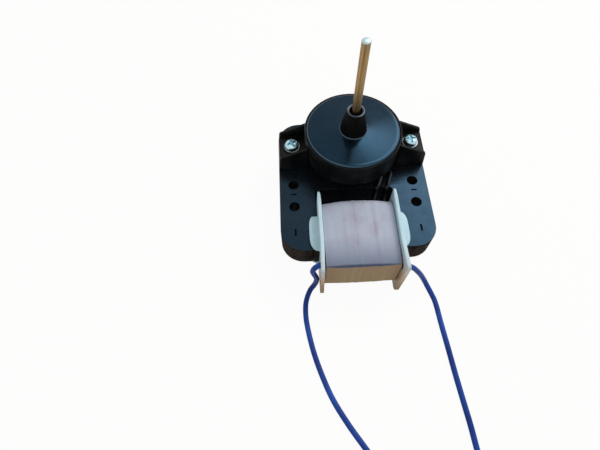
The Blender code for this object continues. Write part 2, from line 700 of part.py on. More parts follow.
def upper_cup_profile():
    rim = STACK_TOP + CUP_RIM_RISE
    rebate = CUP_RADIUS - RIM_WALL
    ledge = CAP_BOTTOM - GAP
    round_low = 0.6 * MM
    outer = [(CUP_RADIUS, rim), (CUP_RADIUS, CUP_BOTTOM + round_low), (CUP_RADIUS - round_low, CUP_BOTTOM)]
    hub = [(HUB_RADIUS, CUP_BOTTOM), (HUB_RADIUS, UPPER_LIP_BOTTOM), (LIP_RADIUS, UPPER_LIP_BOTTOM),
           (LIP_RADIUS, UPPER_LIP_BOTTOM + HUB_LIP), (HUB_BORE, UPPER_LIP_BOTTOM + HUB_LIP),
           (HUB_BORE, UPPER_HUB_TOP), (HUB_RADIUS, UPPER_HUB_TOP), (HUB_RADIUS, CUP_FLOOR_TOP)]
    inside = [(CUP_INNER, CUP_FLOOR_TOP), (CUP_INNER, ledge), (rebate, ledge), (rebate, rim)]
    return outer + hub + inside


def arm_side_outline():
    """The right arm from the side, as (x, z): its top edge falls from the cup to a rounded tip."""
    root = CUP_INNER + CUP_WALL / 2
    foot = STACK_TOP + GAP
    tip_x = ARM_END_X - ARM_END_LEAN
    tip_z = STACK_TOP + ARM_TIP_RISE
    root_z = STACK_TOP + ARM_ROOT_RISE
    slope = math.degrees(math.atan2(root_z - tip_z, tip_x - root))
    corner = arc((tip_x - ARM_TIP_ROUND, tip_z - ARM_TIP_ROUND * 0.7), ARM_TIP_ROUND, 8, 90 - slope, 4)
    return [(root, foot), (ARM_END_X, foot)] + corner + [(root, root_z)]


def along_y(x, z, y):
    return Vector((x, y, z))


def build_upper_housing(casting):
    housing = turned("upper_bearing_housing", upper_cup_profile(), 48, casting)
    arm = add_cutter("upper_arms", prism("upper_arms", [arm_side_outline()], [-ARM_WALL_Y, ARM_WALL_Y], along_y))
    inside_y = ARM_WALL_Y - ARM_WALL
    high = STACK_TOP + ARM_ROOT_RISE + PASS
    reach = ARM_END_X + PASS
    above = boxes("arm_channel", [((0, -inside_y, ARM_FLOOR_TOP), (reach, inside_y, high))])
    cut(arm, add_cutter("arm_channel", above))
    floor_bottom = ARM_FLOOR_TOP - ARM_FLOOR
    below = boxes("arm_hollow", [((0, -inside_y, STACK_TOP - PASS), (ARM_END_X - ARM_WALL, inside_y, floor_bottom))])
    cut(arm, add_cutter("arm_hollow", below))
    hole = [(HOLE_X, 0)]
    overlap = ARM_FLOOR / 2
    boss = cylinders("arm_screw_boss", hole, SCREW_BOSS_RADIUS, STACK_TOP + GAP, floor_bottom + overlap, 20)
    join(arm, add_cutter("arm_screw_boss", boss))
    bolt = cylinders("arm_screw_hole", hole, SCREW_HOLE_RADIUS, STACK_TOP - PASS, high, 20)
    cut(arm, add_cutter("arm_screw_hole", bolt))
    mirror_arms(arm)
    join(housing, arm)


def build_oil_cap(plastic):
    top = STACK_TOP + CAP_TOP_RISE
    neck_top = STACK_TOP + NECK_TOP_RISE
    edge = arc((CAP_RADIUS - CAP_EDGE_ROUND, top - CAP_EDGE_ROUND), CAP_EDGE_ROUND, 90, 0, 3)
    lip = 0.4 * MM
    profile = [(NECK_BORE_RADIUS, neck_top), (NECK_TOP_RADIUS - lip, neck_top), (NECK_TOP_RADIUS, neck_top - lip)]
    profile += [(NECK_BASE_RADIUS, top)] + edge + [(CAP_RADIUS, CAP_BOTTOM), (NECK_BORE_RADIUS, CAP_BOTTOM)]
    turned("oil_cap", profile, 48, plastic)


def build_bearings(bronze, felt, steel):
    upper = UPPER_BEARING_BOTTOM
    lower = PAN_FLOOR + GAP
    for name, low, length in (("upper_bearing", upper, UPPER_BEARING_LENGTH),
                              ("lower_bearing", lower, LOWER_BEARING_LENGTH)):
        high = low + length
        profile = [(BEARING_RADIUS, high), (BEARING_RADIUS, low), (WASHER_BORE, low), (WASHER_BORE, high)]
        turned(name, profile, 24, bronze)
    inner = HUB_RADIUS + GAP
    low = CUP_FLOOR_TOP + GAP
    felt_profile = [(FELT_RADIUS, low + FELT_HEIGHT), (FELT_RADIUS, low), (inner, low), (inner, low + FELT_HEIGHT)]
    turned("oil_felt", felt_profile, 28, felt)
    clip_low = UPPER_HUB_TOP + GAP
    clip_high = clip_low + 0.5 * MM
    clip = [(HUB_RADIUS, clip_high), (HUB_RADIUS, clip_low), (LIP_RADIUS, clip_low), (LIP_RADIUS, clip_high)]
    turned("bearing_retainer", clip, 24, steel)


# Lower bearing housing

def build_lower_housing(casting):
    top = STACK_BOTTOM - GAP
    inner_top = PAN_RADIUS - PAN_WALL
    inner_foot = inner_top - (PAN_RADIUS - PAN_FOOT_RADIUS) * 0.3
    cup = [(0, PAN_FLOOR), (HUB_BORE, PAN_FLOOR), (HUB_BORE, LOWER_HUB_TOP), (HUB_RADIUS, LOWER_HUB_TOP),
           (HUB_RADIUS, PAN_FLOOR), (inner_foot, PAN_FLOOR), (inner_top, top)]
    outside = [(PAN_RADIUS, top), (PAN_RADIUS - PAN_TAPER, PAN_FLOOR), (PAN_FOOT_RADIUS, 0), (0, 0)]
    housing = turned("lower_bearing_housing", cup + outside, 40, casting, closed=False)

    root = PAN_RADIUS - PAN_WALL / 2
    bottom = top - LOWER_ARM_THICKNESS
    outline = arm_plan(root, 0)
    arm = add_cutter("lower_arms", prism("lower_arms", [outline], [bottom, top]))
    pocket = prism("lower_arm_pocket", [arm_plan(PAN_RADIUS, LOWER_ARM_RIB)], [bottom - PASS, bottom + LOWER_ARM_POCKET])
    cut(arm, add_cutter("lower_arm_pocket", pocket))
    bolt = cylinders("lower_screw_hole", [(HOLE_X, 0)], SCREW_HOLE_RADIUS, bottom - PASS, top + PASS, 20)
    cut(arm, add_cutter("lower_screw_hole", bolt))
    mirror_arms(arm)
    join(housing, arm)


def arm_plan(root, inset):
    """The right lower arm from above, drawn in by the inset, with a rounded outer end."""
    end = LOWER_ARM_END_X - inset
    half = LOWER_ARM_HALF_WIDTH - inset
    corner = LOWER_ARM_CORNER - inset
    points = [(root, -half)] + arc((end - corner, -half + corner), corner, 270, 360, 5)
    points += arc((end - corner, half - corner), corner, 0, 90, 5) + [(root, half)]
    return points


def mirror_arms(arm):
    mirror = arm.modifiers.new("both arms", 'MIRROR')
    mirror.use_mirror_merge = False
    mirror.merge_threshold = 1e-6


# Screws, washers and nuts, one set on each side

def build_fasteners(zinc):
    washer_low = ARM_FLOOR_TOP + GAP
    head_low = washer_low + WASHER_THICKNESS + GAP
    head_top = head_low + SCREW_HEAD_HEIGHT
    bottom = NUT_TOP - NUT_HEIGHT - SCREW_END
    shoulder = SCREW_HEAD_HEIGHT / 3
    profile = [(0, head_top), (SCREW_HEAD_RADIUS - 2 * shoulder, head_top),
               (SCREW_HEAD_RADIUS - shoulder * 0.6, head_top - shoulder * 0.6),
               (SCREW_HEAD_RADIUS, head_top - 2 * shoulder), (SCREW_HEAD_RADIUS, head_low),
               (SCREW_RADIUS, head_low), (SCREW_RADIUS, bottom), (0, bottom)]
    half = RECESS_WIDTH / 2
    reach = RECESS_LENGTH / 2
    tip = half * 0.8
    cross = mirrored([(tip, -reach), (half, -half), (reach, -tip), (reach, tip), (half, half), (tip, reach)])
    washer = [(WASHER_RADIUS, washer_low + WASHER_THICKNESS), (WASHER_RADIUS, washer_low),
              (SCREW_HOLE_RADIUS, washer_low), (SCREW_HOLE_RADIUS, washer_low + WASHER_THICKNESS)]
    corner = NUT_ACROSS_FLATS / math.sqrt(3)
    nut = [arc((0, 0), corner, NUT_TURN, NUT_TURN + 360, 6)[:-1], circle((0, 0), SCREW_RADIUS + GAP, 18)]
    for side, x in (("left", -HOLE_X), ("right", HOLE_X)):
        screw = turned(f"screw_{side}", profile, 22, zinc, closed=False)
        name = f"recess_{side}"
        recess = add_cutter(name, prism(name, [cross], [head_top - RECESS_DEPTH, head_top + PASS]))
        cut(screw, recess)
        name = f"nut_{side}"
        hexagon = add_part(name, prism(name, nut, [NUT_TOP - NUT_HEIGHT, NUT_TOP]), zinc)
        for obj in (screw, recess, hexagon, turned(f"washer_{side}", washer, 24, zinc)):
            obj.location.x = x


# Leads: each starts in its flange hole, lies on the ground and ends in a small coil

def smooth_route(points, spacing):
    """Points at about the spacing along a Catmull-Rom curve through the given ones."""
    points = [Vector(point) for point in points]
    ends = [2 * points[0] - points[1], *points, 2 * points[-1] - points[-2]]
    out = []
    for a, b, c, d in zip(ends, ends[1:], ends[2:], ends[3:]):
        steps = max(1, round((c - b).length / spacing))
        for i in range(steps):
            t = i / steps
            out.append(0.5 * (2 * b + (c - a) * t + (2 * a - 5 * b + 4 * c - d) * t ** 2
                              + (3 * b - a - 3 * c + d) * t ** 3))
    out.append(points[-1])
    return out


def build_lead(name, route, tangent, heading, plastic):
    """A tube along the route up to its coil, and the coil's outer shape.

    The lead runs onto the coil at the tangent point, going in the direction of the heading.
    """
    along = Vector((math.cos(math.radians(heading)), math.sin(math.radians(heading))))
    centre = Vector(tangent) * MM + Vector((along.y, -along.x)) * LEAD_COIL_RADIUS
    ring_outer = LEAD_COIL_RADIUS + LEAD_RADIUS
    near_side = LEAD_COIL_RADIUS - LEAD_RADIUS
    before = math.sqrt((ring_outer + GAP) ** 2 - near_side ** 2)
    end = Vector(tangent) * MM - along * before
    points = [Vector(point) * MM for point in route] + [Vector((*end, LEAD_REST))]
    tube(name, smooth_route(points, LEAD_STEP), LEAD_RADIUS, plastic)

    low = LEAD_REST - LEAD_RADIUS
    high = low + LEAD_COIL_TURNS * 2 * LEAD_RADIUS
    inner = near_side
    ring = [(ring_outer, high), (ring_outer, low), (inner, low), (inner, high)]
    coil = turned(f"{name}_coil", ring, 28, plastic)
    coil.location = (*centre, 0)


def build_motor():
    black_steel = make_material("blackened_steel", (0.035, 0.06, 0.075), 0.45, 0.3)
    copper = make_material("enamelled_copper", (0.45, 0.16, 0.06), 0.4, 1.0)
    nylon = make_material("white_nylon", (0.62, 0.72, 0.78), 0.5, 0.0)
    tape = make_material("white_tape", (0.40, 0.42, 0.50), 0.6, 0.0)
    shaft_steel = make_material("shaft_steel", (0.5, 0.48, 0.45), 0.25, 1.0)
    laminated = make_material("rotor_laminations", (0.2, 0.2, 0.21), 0.5, 0.8)
    aluminium = make_material("cast_aluminium", (0.6, 0.61, 0.62), 0.4, 1.0)
    bronze = make_material("sintered_bronze", (0.45, 0.3, 0.15), 0.5, 0.9)
    felt = make_material("oiled_felt", (0.5, 0.42, 0.25), 0.95, 0.0)
    casting = make_material("black_casting", (0.012, 0.014, 0.016), 0.4, 0.0)
    cap_plastic = make_material("black_cap", (0.02, 0.03, 0.045), 0.35, 0.0)
    zinc = make_material("zinc_plate", (0.6, 0.7, 0.72), 0.3, 1.0)
    blue = make_material("blue_sheath", (0.012, 0.03, 0.19), 0.4, 0.0)

    build_stator(black_steel)
    build_shading_rings(copper)
    build_bobbin(nylon)
    build_coil(copper, tape)
    build_rotor(shaft_steel, laminated, aluminium, bronze)
    build_upper_housing(casting)
    build_oil_cap(cap_plastic)
    build_bearings(bronze, felt, zinc)
    build_lower_housing(casting)
    build_fasteners(zinc)
    build_lead("lead_left", LEFT_ROUTE, LEFT_COIL_TANGENT, LEFT_COIL_HEADING, blue)
    build_lead("lead_right", RIGHT_ROUTE, RIGHT_COIL_TANGENT, RIGHT_COIL_HEADING, blue)


clear_scene()
PARTS = new_collection("Shaded pole motor")
CUTTERS = new_collection("Cutters")
ROTOR_AXIS = bpy.data.objects.new("rotor_axis", None)
PARTS.objects.link(ROTOR_AXIS)
build_motor()
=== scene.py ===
# %% [markdown]
# Shaded pole motor
#
# This file dresses a small shaded pole motor: a C-shaped stack of punched steel sheets, a taped coil on a
# white bobbin, a black bearing housing with an oil cap, a long steel shaft and two blue leads. The solids
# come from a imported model, which fixes every size and place. Each step below first says what a piece or a
# finish is on the real motor, how it could be made, and why it is made the way it is here.

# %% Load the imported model
import math

import bmesh
import bpy
from mathutils import Matrix, Vector, noise


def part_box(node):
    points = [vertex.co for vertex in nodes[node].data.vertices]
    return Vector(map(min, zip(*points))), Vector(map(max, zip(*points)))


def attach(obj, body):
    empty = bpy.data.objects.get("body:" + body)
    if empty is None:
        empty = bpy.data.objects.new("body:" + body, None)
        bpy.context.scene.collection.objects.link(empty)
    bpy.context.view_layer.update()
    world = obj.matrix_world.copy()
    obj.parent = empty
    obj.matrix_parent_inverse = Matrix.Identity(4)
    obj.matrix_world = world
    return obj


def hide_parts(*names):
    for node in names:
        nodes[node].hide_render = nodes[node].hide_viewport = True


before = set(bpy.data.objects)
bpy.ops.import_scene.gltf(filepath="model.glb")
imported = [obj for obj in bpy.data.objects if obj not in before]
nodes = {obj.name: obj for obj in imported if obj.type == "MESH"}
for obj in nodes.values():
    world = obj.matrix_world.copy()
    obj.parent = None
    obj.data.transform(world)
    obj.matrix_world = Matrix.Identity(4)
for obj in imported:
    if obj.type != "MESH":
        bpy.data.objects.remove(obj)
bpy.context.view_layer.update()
MM = 0.001
print("nodes", len(nodes))

# %% [markdown]
# The heights that everything else is set against are read from the solids. The stack of sheets gives two of
# them, and the shaft stands at x = y = 0, so a round solid's radius is its largest x.

# %% Heights and radii from the solids
def low_corner(node):
    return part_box(node)[0]


def high_corner(node):
    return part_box(node)[1]


STACK_LOW, STACK_HIGH = low_corner("stator_core"), high_corner("stator_core")
STACK_BOTTOM, STACK_TOP = STACK_LOW.z, STACK_HIGH.z
BOBBIN_LOW, BOBBIN_HIGH = low_corner("bobbin"), high_corner("bobbin")
CAP_RADIUS = high_corner("oil_cap").x
SHAFT_RADIUS = high_corner("shaft").x
print("stack from", round(STACK_BOTTOM / MM, 2), "to", round(STACK_TOP / MM, 2), "mm")

# %% [markdown]
# The camera comes first, because the leads run out of its view. It looks steeply down on the motor from the
# coil's side. Pitch, yaw and roll are given as a photographer would give them, and three plain turns put
# them together: a camera at rest looks straight down, so it is first tipped up, then swung round, and last
# rolled about its own line of sight.

# %% Camera
def add_object(name, data):
    item = bpy.data.objects.new(name, data)
    bpy.context.scene.collection.objects.link(item)
    return item


CAMERA_PLACE = Vector((-24.79, -112.55, 166.02)) * MM
CAMERA_PITCH = 61.87
CAMERA_YAW = 1.43
CAMERA_ROLL = -1.14
SENSOR_WIDTH = 36.0
FOCAL_LENGTH = 25.5

lens = bpy.data.cameras.new("camera")
lens.sensor_width = SENSOR_WIDTH
lens.lens = FOCAL_LENGTH
lens.clip_start = 5 * MM
camera = add_object("camera", lens)
swing = Matrix.Rotation(math.radians(-CAMERA_YAW), 4, 'Z')
tip = Matrix.Rotation(math.radians(90 - CAMERA_PITCH), 4, 'X')
roll = Matrix.Rotation(math.radians(CAMERA_ROLL), 4, 'Z')
camera.matrix_world = Matrix.Translation(CAMERA_PLACE) @ swing @ tip @ roll
bpy.context.scene.camera = camera
bpy.context.scene.view_settings.view_transform = 'Standard'
print("camera looks down by", CAMERA_PITCH, "degrees")

# %% [markdown]
# Every finish is made of shader nodes. The helpers below keep that short. A finish starts as a Principled
# shader, and patterns are noises over Object coordinates, in features per metre, so that their scale is
# real: 500 features per metre are 2 mm apart. Patterns then drive the colour, the roughness and a bump
# whose depth is in metres. A noise stays near its middle, so 0.35 to 0.65 of it is what turns one colour
# into the other.

# %% Helpers for finishes
def set_inputs(node, values):
    """Set inputs of a shader node by their names."""
    for name, value in values.items():
        node.inputs[name].default_value = value


def new_node(owner, kind, values={}):
    """A shader node of a material or of the world, with some of its inputs set by name."""
    node = owner.node_tree.nodes.new("ShaderNode" + kind)
    set_inputs(node, values)
    return node


def shader_of(material):
    return material.node_tree.nodes["Principled BSDF"]


def connect(owner, source, target):
    owner.node_tree.links.new(source, target)


def new_finish(name, metallic=0.0, specular=0.5):
    material = bpy.data.materials.new(name)
    material.use_nodes = True
    set_inputs(shader_of(material), {"Metallic": metallic, "Specular IOR Level": specular})
    print("finish", name)
    return material


def place_on_piece(material, stretch=(1, 1, 1), turn=(0, 0, 0), move=(0, 0, 0)):
    """Object coordinates, moved, turned and stretched."""
    coordinates = new_node(material, "TexCoord")
    mapping = new_node(material, "Mapping", {"Scale": stretch, "Rotation": turn, "Location": move})
    connect(material, coordinates.outputs["Object"], mapping.inputs["Vector"])
    return mapping.outputs["Vector"]


def speckle(material, per_metre, detail=2.0, stretch=(1, 1, 1)):
    """A soft noise with a value of about 0.3 to 0.7."""
    texture = new_node(material, "TexNoise", {"Scale": per_metre, "Detail": detail})
    connect(material, place_on_piece(material, stretch), texture.inputs["Vector"])
    return texture.outputs["Fac"]


def height_on_piece(material, axis="Z", turn=(0, 0, 0), move=(0, 0, 0)):
    """How far along X, Y or Z a point lies, in metres."""
    split = new_node(material, "SeparateXYZ")
    connect(material, place_on_piece(material, turn=turn, move=move), split.inputs["Vector"])
    return split.outputs[axis]


def spread(material, value, low, high, to_low=0.0, to_high=1.0):
    """Map a value from low..high to to_low..to_high, held at both ends."""
    limits = {"From Min": low, "From Max": high, "To Min": to_low, "To Max": to_high}
    node = new_node(material, "MapRange", limits)
    connect(material, value, node.inputs["Value"])
    return node.outputs["Result"]


def reckon(owner, operation, first, second):
    """Two values put together by a Math node; a sum stays between 0 and 1."""
    node = new_node(owner, "Math")
    node.operation = operation
    node.use_clamp = operation == 'ADD'
    connect(owner, first, node.inputs[0])
    connect(owner, second, node.inputs[1])
    return node.outputs["Value"]


def mixed(material, factor, first, second):
    """Two colours, each given as numbers or as another node's output."""
    node = new_node(material, "Mix")
    node.data_type = 'RGBA'
    connect(material, factor, node.inputs[0])
    for socket, colour in ((node.inputs[6], first), (node.inputs[7], second)):
        if isinstance(colour, tuple):
            socket.default_value = (*colour, 1.0)
        else:
            connect(material, colour, socket)
    return node.outputs[2]


def set_colour(material, output):
    connect(material, output, shader_of(material).inputs["Base Color"])


def two_tones(material, value, dark, light):
    """Two colours in soft patches, as a noise's value goes up and down."""
    return mixed(material, spread(material, value, 0.35, 0.65), dark, light)


def set_roughness(material, value, low, high, start=0.3, end=0.7):
    """As a noise's value goes from start to end, the roughness goes from low to high."""
    connect(material, spread(material, value, start, end, low, high), shader_of(material).inputs["Roughness"])


def add_bump(material, height, depth, strength=1.0):
    """Add a relief of that depth in metres, on top of any that is there already."""
    node = new_node(material, "Bump", {"Distance": depth, "Strength": strength})
    connect(material, height, node.inputs["Height"])
    normal = shader_of(material).inputs["Normal"]
    if normal.is_linked:
        connect(material, normal.links[0].from_socket, node.inputs["Normal"])
    connect(material, node.outputs["Normal"], normal)


def grained(name, dark, light, per_metre, rough, stretch=(1, 1, 1), relief=0.00003, strength=0.6, detail=3,
            metallic=1.0, specular=0.5, fine=None):
    """A whole finish that follows one noise; the relief can follow a finer one of its own."""
    material = new_finish(name, metallic, specular)
    grain = speckle(material, per_metre, detail, stretch)
    set_colour(material, two_tones(material, grain, dark, light))
    set_roughness(material, grain, *rough)
    add_bump(material, speckle(material, *fine) if fine else grain, relief, strength)
    return material


# %% [markdown]
# The floor is a plain pale sheet. Seen by the camera or in a reflection it is nearly white, and it keeps a
# faint shadow, because a little of its own diffuse colour stays in the mix. Right under the motor, where its
# gaps look onto the floor, there is no white and the diffuse colour is almost black, a painted shadow as
# dark as the deepest part of a real one. The object only meets the diffuse colour, which is a warm pale tone
# further out, so the sides that look down to it get a slightly warm light. The world does the same for the
# air round the motor: white for the camera and in reflections, and softer as a light.

# %% Floor and world
FLOOR_HALF = 1.5
FLOOR_COLOUR = (0.86, 0.78, 0.68)
# Colour of the painted shadow on the floor right under the motor.
PAINTED_FLOOR_SHADOW = (0.010, 0.009, 0.008)
FLOOR_SHADOW = 0.05
UNDER_MIDDLE = (0, -7, 0)
UNDER_HALF = (28, 25, 1)
UNDER_START = 0.75
UNDER_END = 1.1
SKY_COLOUR = (0.93, 0.97, 1.0)
SKY_STRENGTH = 0.60


def seen_directly(owner):
    """1 where the ray comes from the camera or is a reflection or a refraction."""
    path = new_node(owner, "LightPath")
    total = path.outputs["Is Camera Ray"]
    for name in ("Is Glossy Ray", "Is Transmission Ray"):
        total = reckon(owner, 'MAXIMUM', total, path.outputs[name])
    return total


def clear_of_motor(material):
    """The share of white and the mask of the painted shadow: no white right under the motor, most further
    out.
    """
    stretch = [1 / (half * MM) for half in UNDER_HALF]
    move = [-middle / half for middle, half in zip(UNDER_MIDDLE, UNDER_HALF)]
    away = new_node(material, "VectorMath")
    away.operation = 'LENGTH'
    connect(material, place_on_piece(material, stretch, move=move), away.inputs[0])
    return spread(material, away.outputs["Value"], UNDER_START, UNDER_END, 0, 1 - FLOOR_SHADOW)


def send_out(owner, output_kind, share, lighting, seen):
    """Blend the shader that lights the object with the one that is seen, and send the blend out."""
    blend = new_node(owner, "MixShader")
    output = new_node(owner, output_kind)
    connect(owner, share, blend.inputs[0])
    connect(owner, lighting.outputs[0], blend.inputs[1])
    connect(owner, seen.outputs[0], blend.inputs[2])
    connect(owner, blend.outputs[0], output.inputs["Surface"])


def build_floor():
    bm = bmesh.new()
    bmesh.ops.create_grid(bm, x_segments=1, y_segments=1, size=FLOOR_HALF)
    mesh = bpy.data.meshes.new("floor")
    bm.to_mesh(mesh)
    bm.free()
    floor = add_object("floor", mesh)
    material = bpy.data.materials.new("pale_floor")
    material.use_nodes = True
    material.node_tree.nodes.clear()
    clear = clear_of_motor(material)
    diffuse = new_node(material, "BsdfDiffuse")
    # The diffuse colour turns into the painted shadow right under the motor.
    connect(material, mixed(material, clear, PAINTED_FLOOR_SHADOW, FLOOR_COLOUR), diffuse.inputs["Color"])
    share = reckon(material, 'MULTIPLY', seen_directly(material), clear)
    send_out(material, "OutputMaterial", share, diffuse, new_node(material, "Emission"))
    mesh.materials.append(material)


def build_world():
    world = bpy.data.worlds.new("soft_sky")
    bpy.context.scene.world = world
    world.use_nodes = True
    world.node_tree.nodes.clear()
    soft = new_node(world, "Background", {"Color": (*SKY_COLOUR, 1), "Strength": SKY_STRENGTH})
    white = new_node(world, "Background", {"Color": (1, 1, 1, 1)})
    send_out(world, "OutputWorld", seen_directly(world), soft, white)


build_floor()
build_world()
print("the floor is", 2 * FLOOR_HALF, "m wide")

# %% [markdown]
# One broad lamp stands high on the right behind the motor. Its size keeps the shadows soft, and its place
# puts the soft sheen on the right-hand side of the flat tops, as a window would.

# %% Lamp
LAMP_PLACE = Vector((0.43, 0.41, 0.695))
LAMP_SIZE = 0.5
LAMP_POWER = 4.5


def build_lamp():
    light = bpy.data.lights.new("window_lamp", 'AREA')
    light.size = LAMP_SIZE
    light.energy = LAMP_POWER
    lamp = add_object("window_lamp", light)
    facing = LAMP_PLACE.to_track_quat('Z', 'Y').to_matrix().to_4x4()
    lamp.matrix_world = Matrix.Translation(LAMP_PLACE) @ facing


build_lamp()
print("lamp is", round(LAMP_PLACE.length, 2), "m away")

# %% [markdown]
# The pieces that replace solids are built in bmesh and finished the same way: doubles are merged, the
# normals are worked out again, and the mesh goes to an object at the origin that rides on its body. Small
# bevels, cut into the mesh or by a modifier, give the edges the tiny radius that every moulded or punched
# edge has, and which catches the light. Pieces with large flat faces are only shaded smooth over small
# angles, so that those stay flat.

# %% Helpers for pieces
SMOOTH_ANGLE = 35
FLAT_ANGLE = 20


def finish_piece(bm, name, materials, replaced=(), edge=0.0, edge_angle=40, smooth=SMOOTH_ANGLE,
                 body="stator"):
    """Turn the mesh into an object with its finishes, on its body."""
    bmesh.ops.remove_doubles(bm, verts=bm.verts, dist=0.001 * MM)
    bmesh.ops.recalc_face_normals(bm, faces=bm.faces)
    mesh = bpy.data.meshes.new(name)
    bm.to_mesh(mesh)
    bm.free()
    for material in materials:
        mesh.materials.append(material)
    mesh.shade_smooth()
    mesh.set_sharp_from_angle(angle=math.radians(smooth))
    piece = add_object(name, mesh)
    if edge:
        soft = piece.modifiers.new("soft_edges", 'BEVEL')
        soft.width = edge
        soft.segments = 2
        soft.limit_method = 'ANGLE'
        soft.angle_limit = math.radians(edge_angle)
        soft.harden_normals = True
    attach(piece, body)
    if replaced:
        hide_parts(*replaced)
    print(name, len(mesh.polygons), "faces")
    return piece


def turned(profile, steps, closed=False, centre=(0, 0)):
    """Spin a profile of (radius, height) points once round an upright axis."""
    bm = bmesh.new()
    x, y = centre
    verts = [bm.verts.new((x + radius, y, height)) for radius, height in profile]
    edges = [bm.edges.new(pair) for pair in zip(verts, verts[1:])]
    if closed:
        edges.append(bm.edges.new((verts[-1], verts[0])))
    bmesh.ops.spin(bm, geom=verts + edges, axis=(0, 0, 1), cent=(x, y, 0), angle=math.tau, steps=steps,
                   use_merge=True)
    return bm


def merged_copy(node):
    """A node's solid with its loose triangles joined and each flat face made whole."""
    bm = bmesh.new()
    bm.from_mesh(nodes[node].data)
    bmesh.ops.remove_doubles(bm, verts=bm.verts, dist=0.002 * MM)
    bmesh.ops.dissolve_limit(bm, angle_limit=math.radians(0.5), verts=bm.verts, edges=bm.edges)
    return bm


def softened_copy(node, width, segments=2, angle=40, where=None):
    """A merged copy with a bevel on the edges that fold by more than the angle."""
    bm = merged_copy(node)
    folded = [edge for edge in bm.edges if edge.is_manifold and edge.calc_face_angle(0) > math.radians(angle)]
    if where:
        folded = [edge for edge in folded if where(edge)]
    bmesh.ops.bevel(bm, geom=folded, offset=width, offset_type='OFFSET', segments=segments, profile=0.5,
                    affect='EDGES', material=-1, clamp_overlap=False)
    return bm


def cut_across(bm, axis, level):
    """Cut the whole mesh at a level along X, Y or Z, which are 0, 1 and 2."""
    normal = Vector((0, 0, 0))
    normal[axis] = 1
    geometry = bm.verts[:] + bm.edges[:] + bm.faces[:]
    bmesh.ops.bisect_plane(bm, geom=geometry, plane_co=normal * level, plane_no=normal, dist=1e-7)


# %% [markdown]
# The leads are two limp insulated wires. Each comes out of a hole in the bobbin's flange, drops to the
# ground and runs forward in a loose curve. What the picture doesn't show of their length is wound into a
# small coil just outside the view, held by a tie, with a short tinned end. A curve with a round bevel is
# the natural form for a wire, because its centreline is its length. The route is a smooth spline through
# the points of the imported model, and in the coil each turn lies on the one below. A step from one turn to
# the next is kept clear of the place where the lead runs in.

# %% Lead routes
LEAD_RADIUS = 1.05 * MM
LEAD_REST = 1.1 * MM
LEAD_STEP = 1.2 * MM
COIL_RADIUS = 11.0 * MM
TURN_RISE = 2.1 * MM
STEP_START = 235.0
STEP_END = 315.0
LAST_TURN_END = 222.0
BARE_LENGTH = 4.5 * MM
BARE_OVERLAP = 4
COIL_STEP = 8
TIE_ANGLE = 100.0
TIE_LIFT = 0.28 * MM
TIE_SPREAD = 30.0

LEFT_ROUTE = [(-14.6, -52.7, 22.3), (-16.2, -52.7, 22.3), (-18.1, -53.0, 20.6), (-18.9, -53.1, 17.5),
              (-18.2, -53.1, 14.2), (-17.4, -53.1, 11.0), (-17.3, -53.2, 7.6), (-18.1, -53.7, 4.5),
              (-19.8, -55.0, 2.1), (-21.4, -58.6, 1.1), (-22.0, -62.8, 1.1), (-21.7, -68.8, 1.1),
              (-19.9, -78.5, 1.1), (-17.2, -87.6, 1.1), (-13.7, -96.4, 1.1), (-8.9, -104.8, 1.1),
              (-3.5, -112.8, 1.1)]
RIGHT_ROUTE = [(14.6, -52.7, 18.4), (16.4, -52.7, 18.3), (19.2, -52.9, 16.3), (21.8, -53.1, 12.6),
               (24.1, -53.3, 8.6), (25.9, -54.1, 5.3), (27.6, -56.0, 2.7), (29.1, -59.0, 1.4),
               (30.0, -62.5, 1.1), (30.6, -71.1, 1.1), (31.4, -80.7, 1.1), (32.1, -89.8, 1.1),
               (32.9, -98.4, 1.1), (33.7, -106.6, 1.1), (34.2, -114.4, 1.1)]
# Each lead has its route in millimetres, the point where it meets its coil, and its heading there in degrees.
LEADS = {"left": (LEFT_ROUTE, (3.0, -122.7), -55.0), "right": (RIGHT_ROUTE, (35.2, -127.5), -86.0)}


def smooth_route(points, spacing):
    """Points at about the spacing along a smooth curve through the given ones."""
    ends = [2 * points[0] - points[1], *points, 2 * points[-1] - points[-2]]
    out = []
    for a, b, c, d in zip(ends, ends[1:], ends[2:], ends[3:]):
        steps = max(1, round((c - b).length / spacing))
        for i in range(steps):
            t = i / steps
            out.append(0.5 * (2 * b + (c - a) * t + (2 * a - 5 * b + 4 * c - d) * t ** 2
                              + (3 * b - a - 3 * c + d) * t ** 3))
    out.append(points[-1])
    return out


def smooth_step(value):
    value = min(max(value, 0), 1)
    return value * value * (3 - 2 * value)


def coil_point(centre, start, turned_by):
    """A point on the coil, after it has turned by that many degrees, clockwise from above."""
    whole, part = divmod(turned_by, 360)
    rise = whole + smooth_step((part - STEP_START) / (STEP_END - STEP_START))
    away = abs(part - TIE_ANGLE) / TIE_SPREAD
    lift = TIE_LIFT * (1 - smooth_step(away)) if away < 1 else 0
    angle = start - math.radians(turned_by)
    return Vector((centre.x + COIL_RADIUS * math.cos(angle), centre.y + COIL_RADIUS * math.sin(angle),
                   LEAD_REST + rise * TURN_RISE + lift))


def coil_centre(tangent, heading):
    """The coil's centre, from the point in millimetres where the lead meets it and the way it goes there."""
    along = Vector((math.cos(math.radians(heading)), math.sin(math.radians(heading))))
    return Vector(tangent) * MM + Vector((along.y, -along.x)) * COIL_RADIUS


def lead_points(route, tangent, heading):
    """The whole centreline, and the points of its bare end."""
    start = math.radians(heading + 90)
    centre = coil_centre(tangent, heading)
    places = [Vector(point) * MM for point in (*route, (*tangent, LEAD_REST / MM))]
    points = smooth_route(places, LEAD_STEP)
    last = 2 * 360 + LAST_TURN_END
    points += [coil_point(centre, start, angle) for angle in range(COIL_STEP, int(last) + 1, COIL_STEP)]
    bare = math.degrees(BARE_LENGTH / COIL_RADIUS)
    tail = [coil_point(centre, start, last - BARE_OVERLAP + bare * i / 6) for i in range(7)]
    return points, tail


def measured(points):
    return sum((b - a).length for a, b in zip(points, points[1:]))


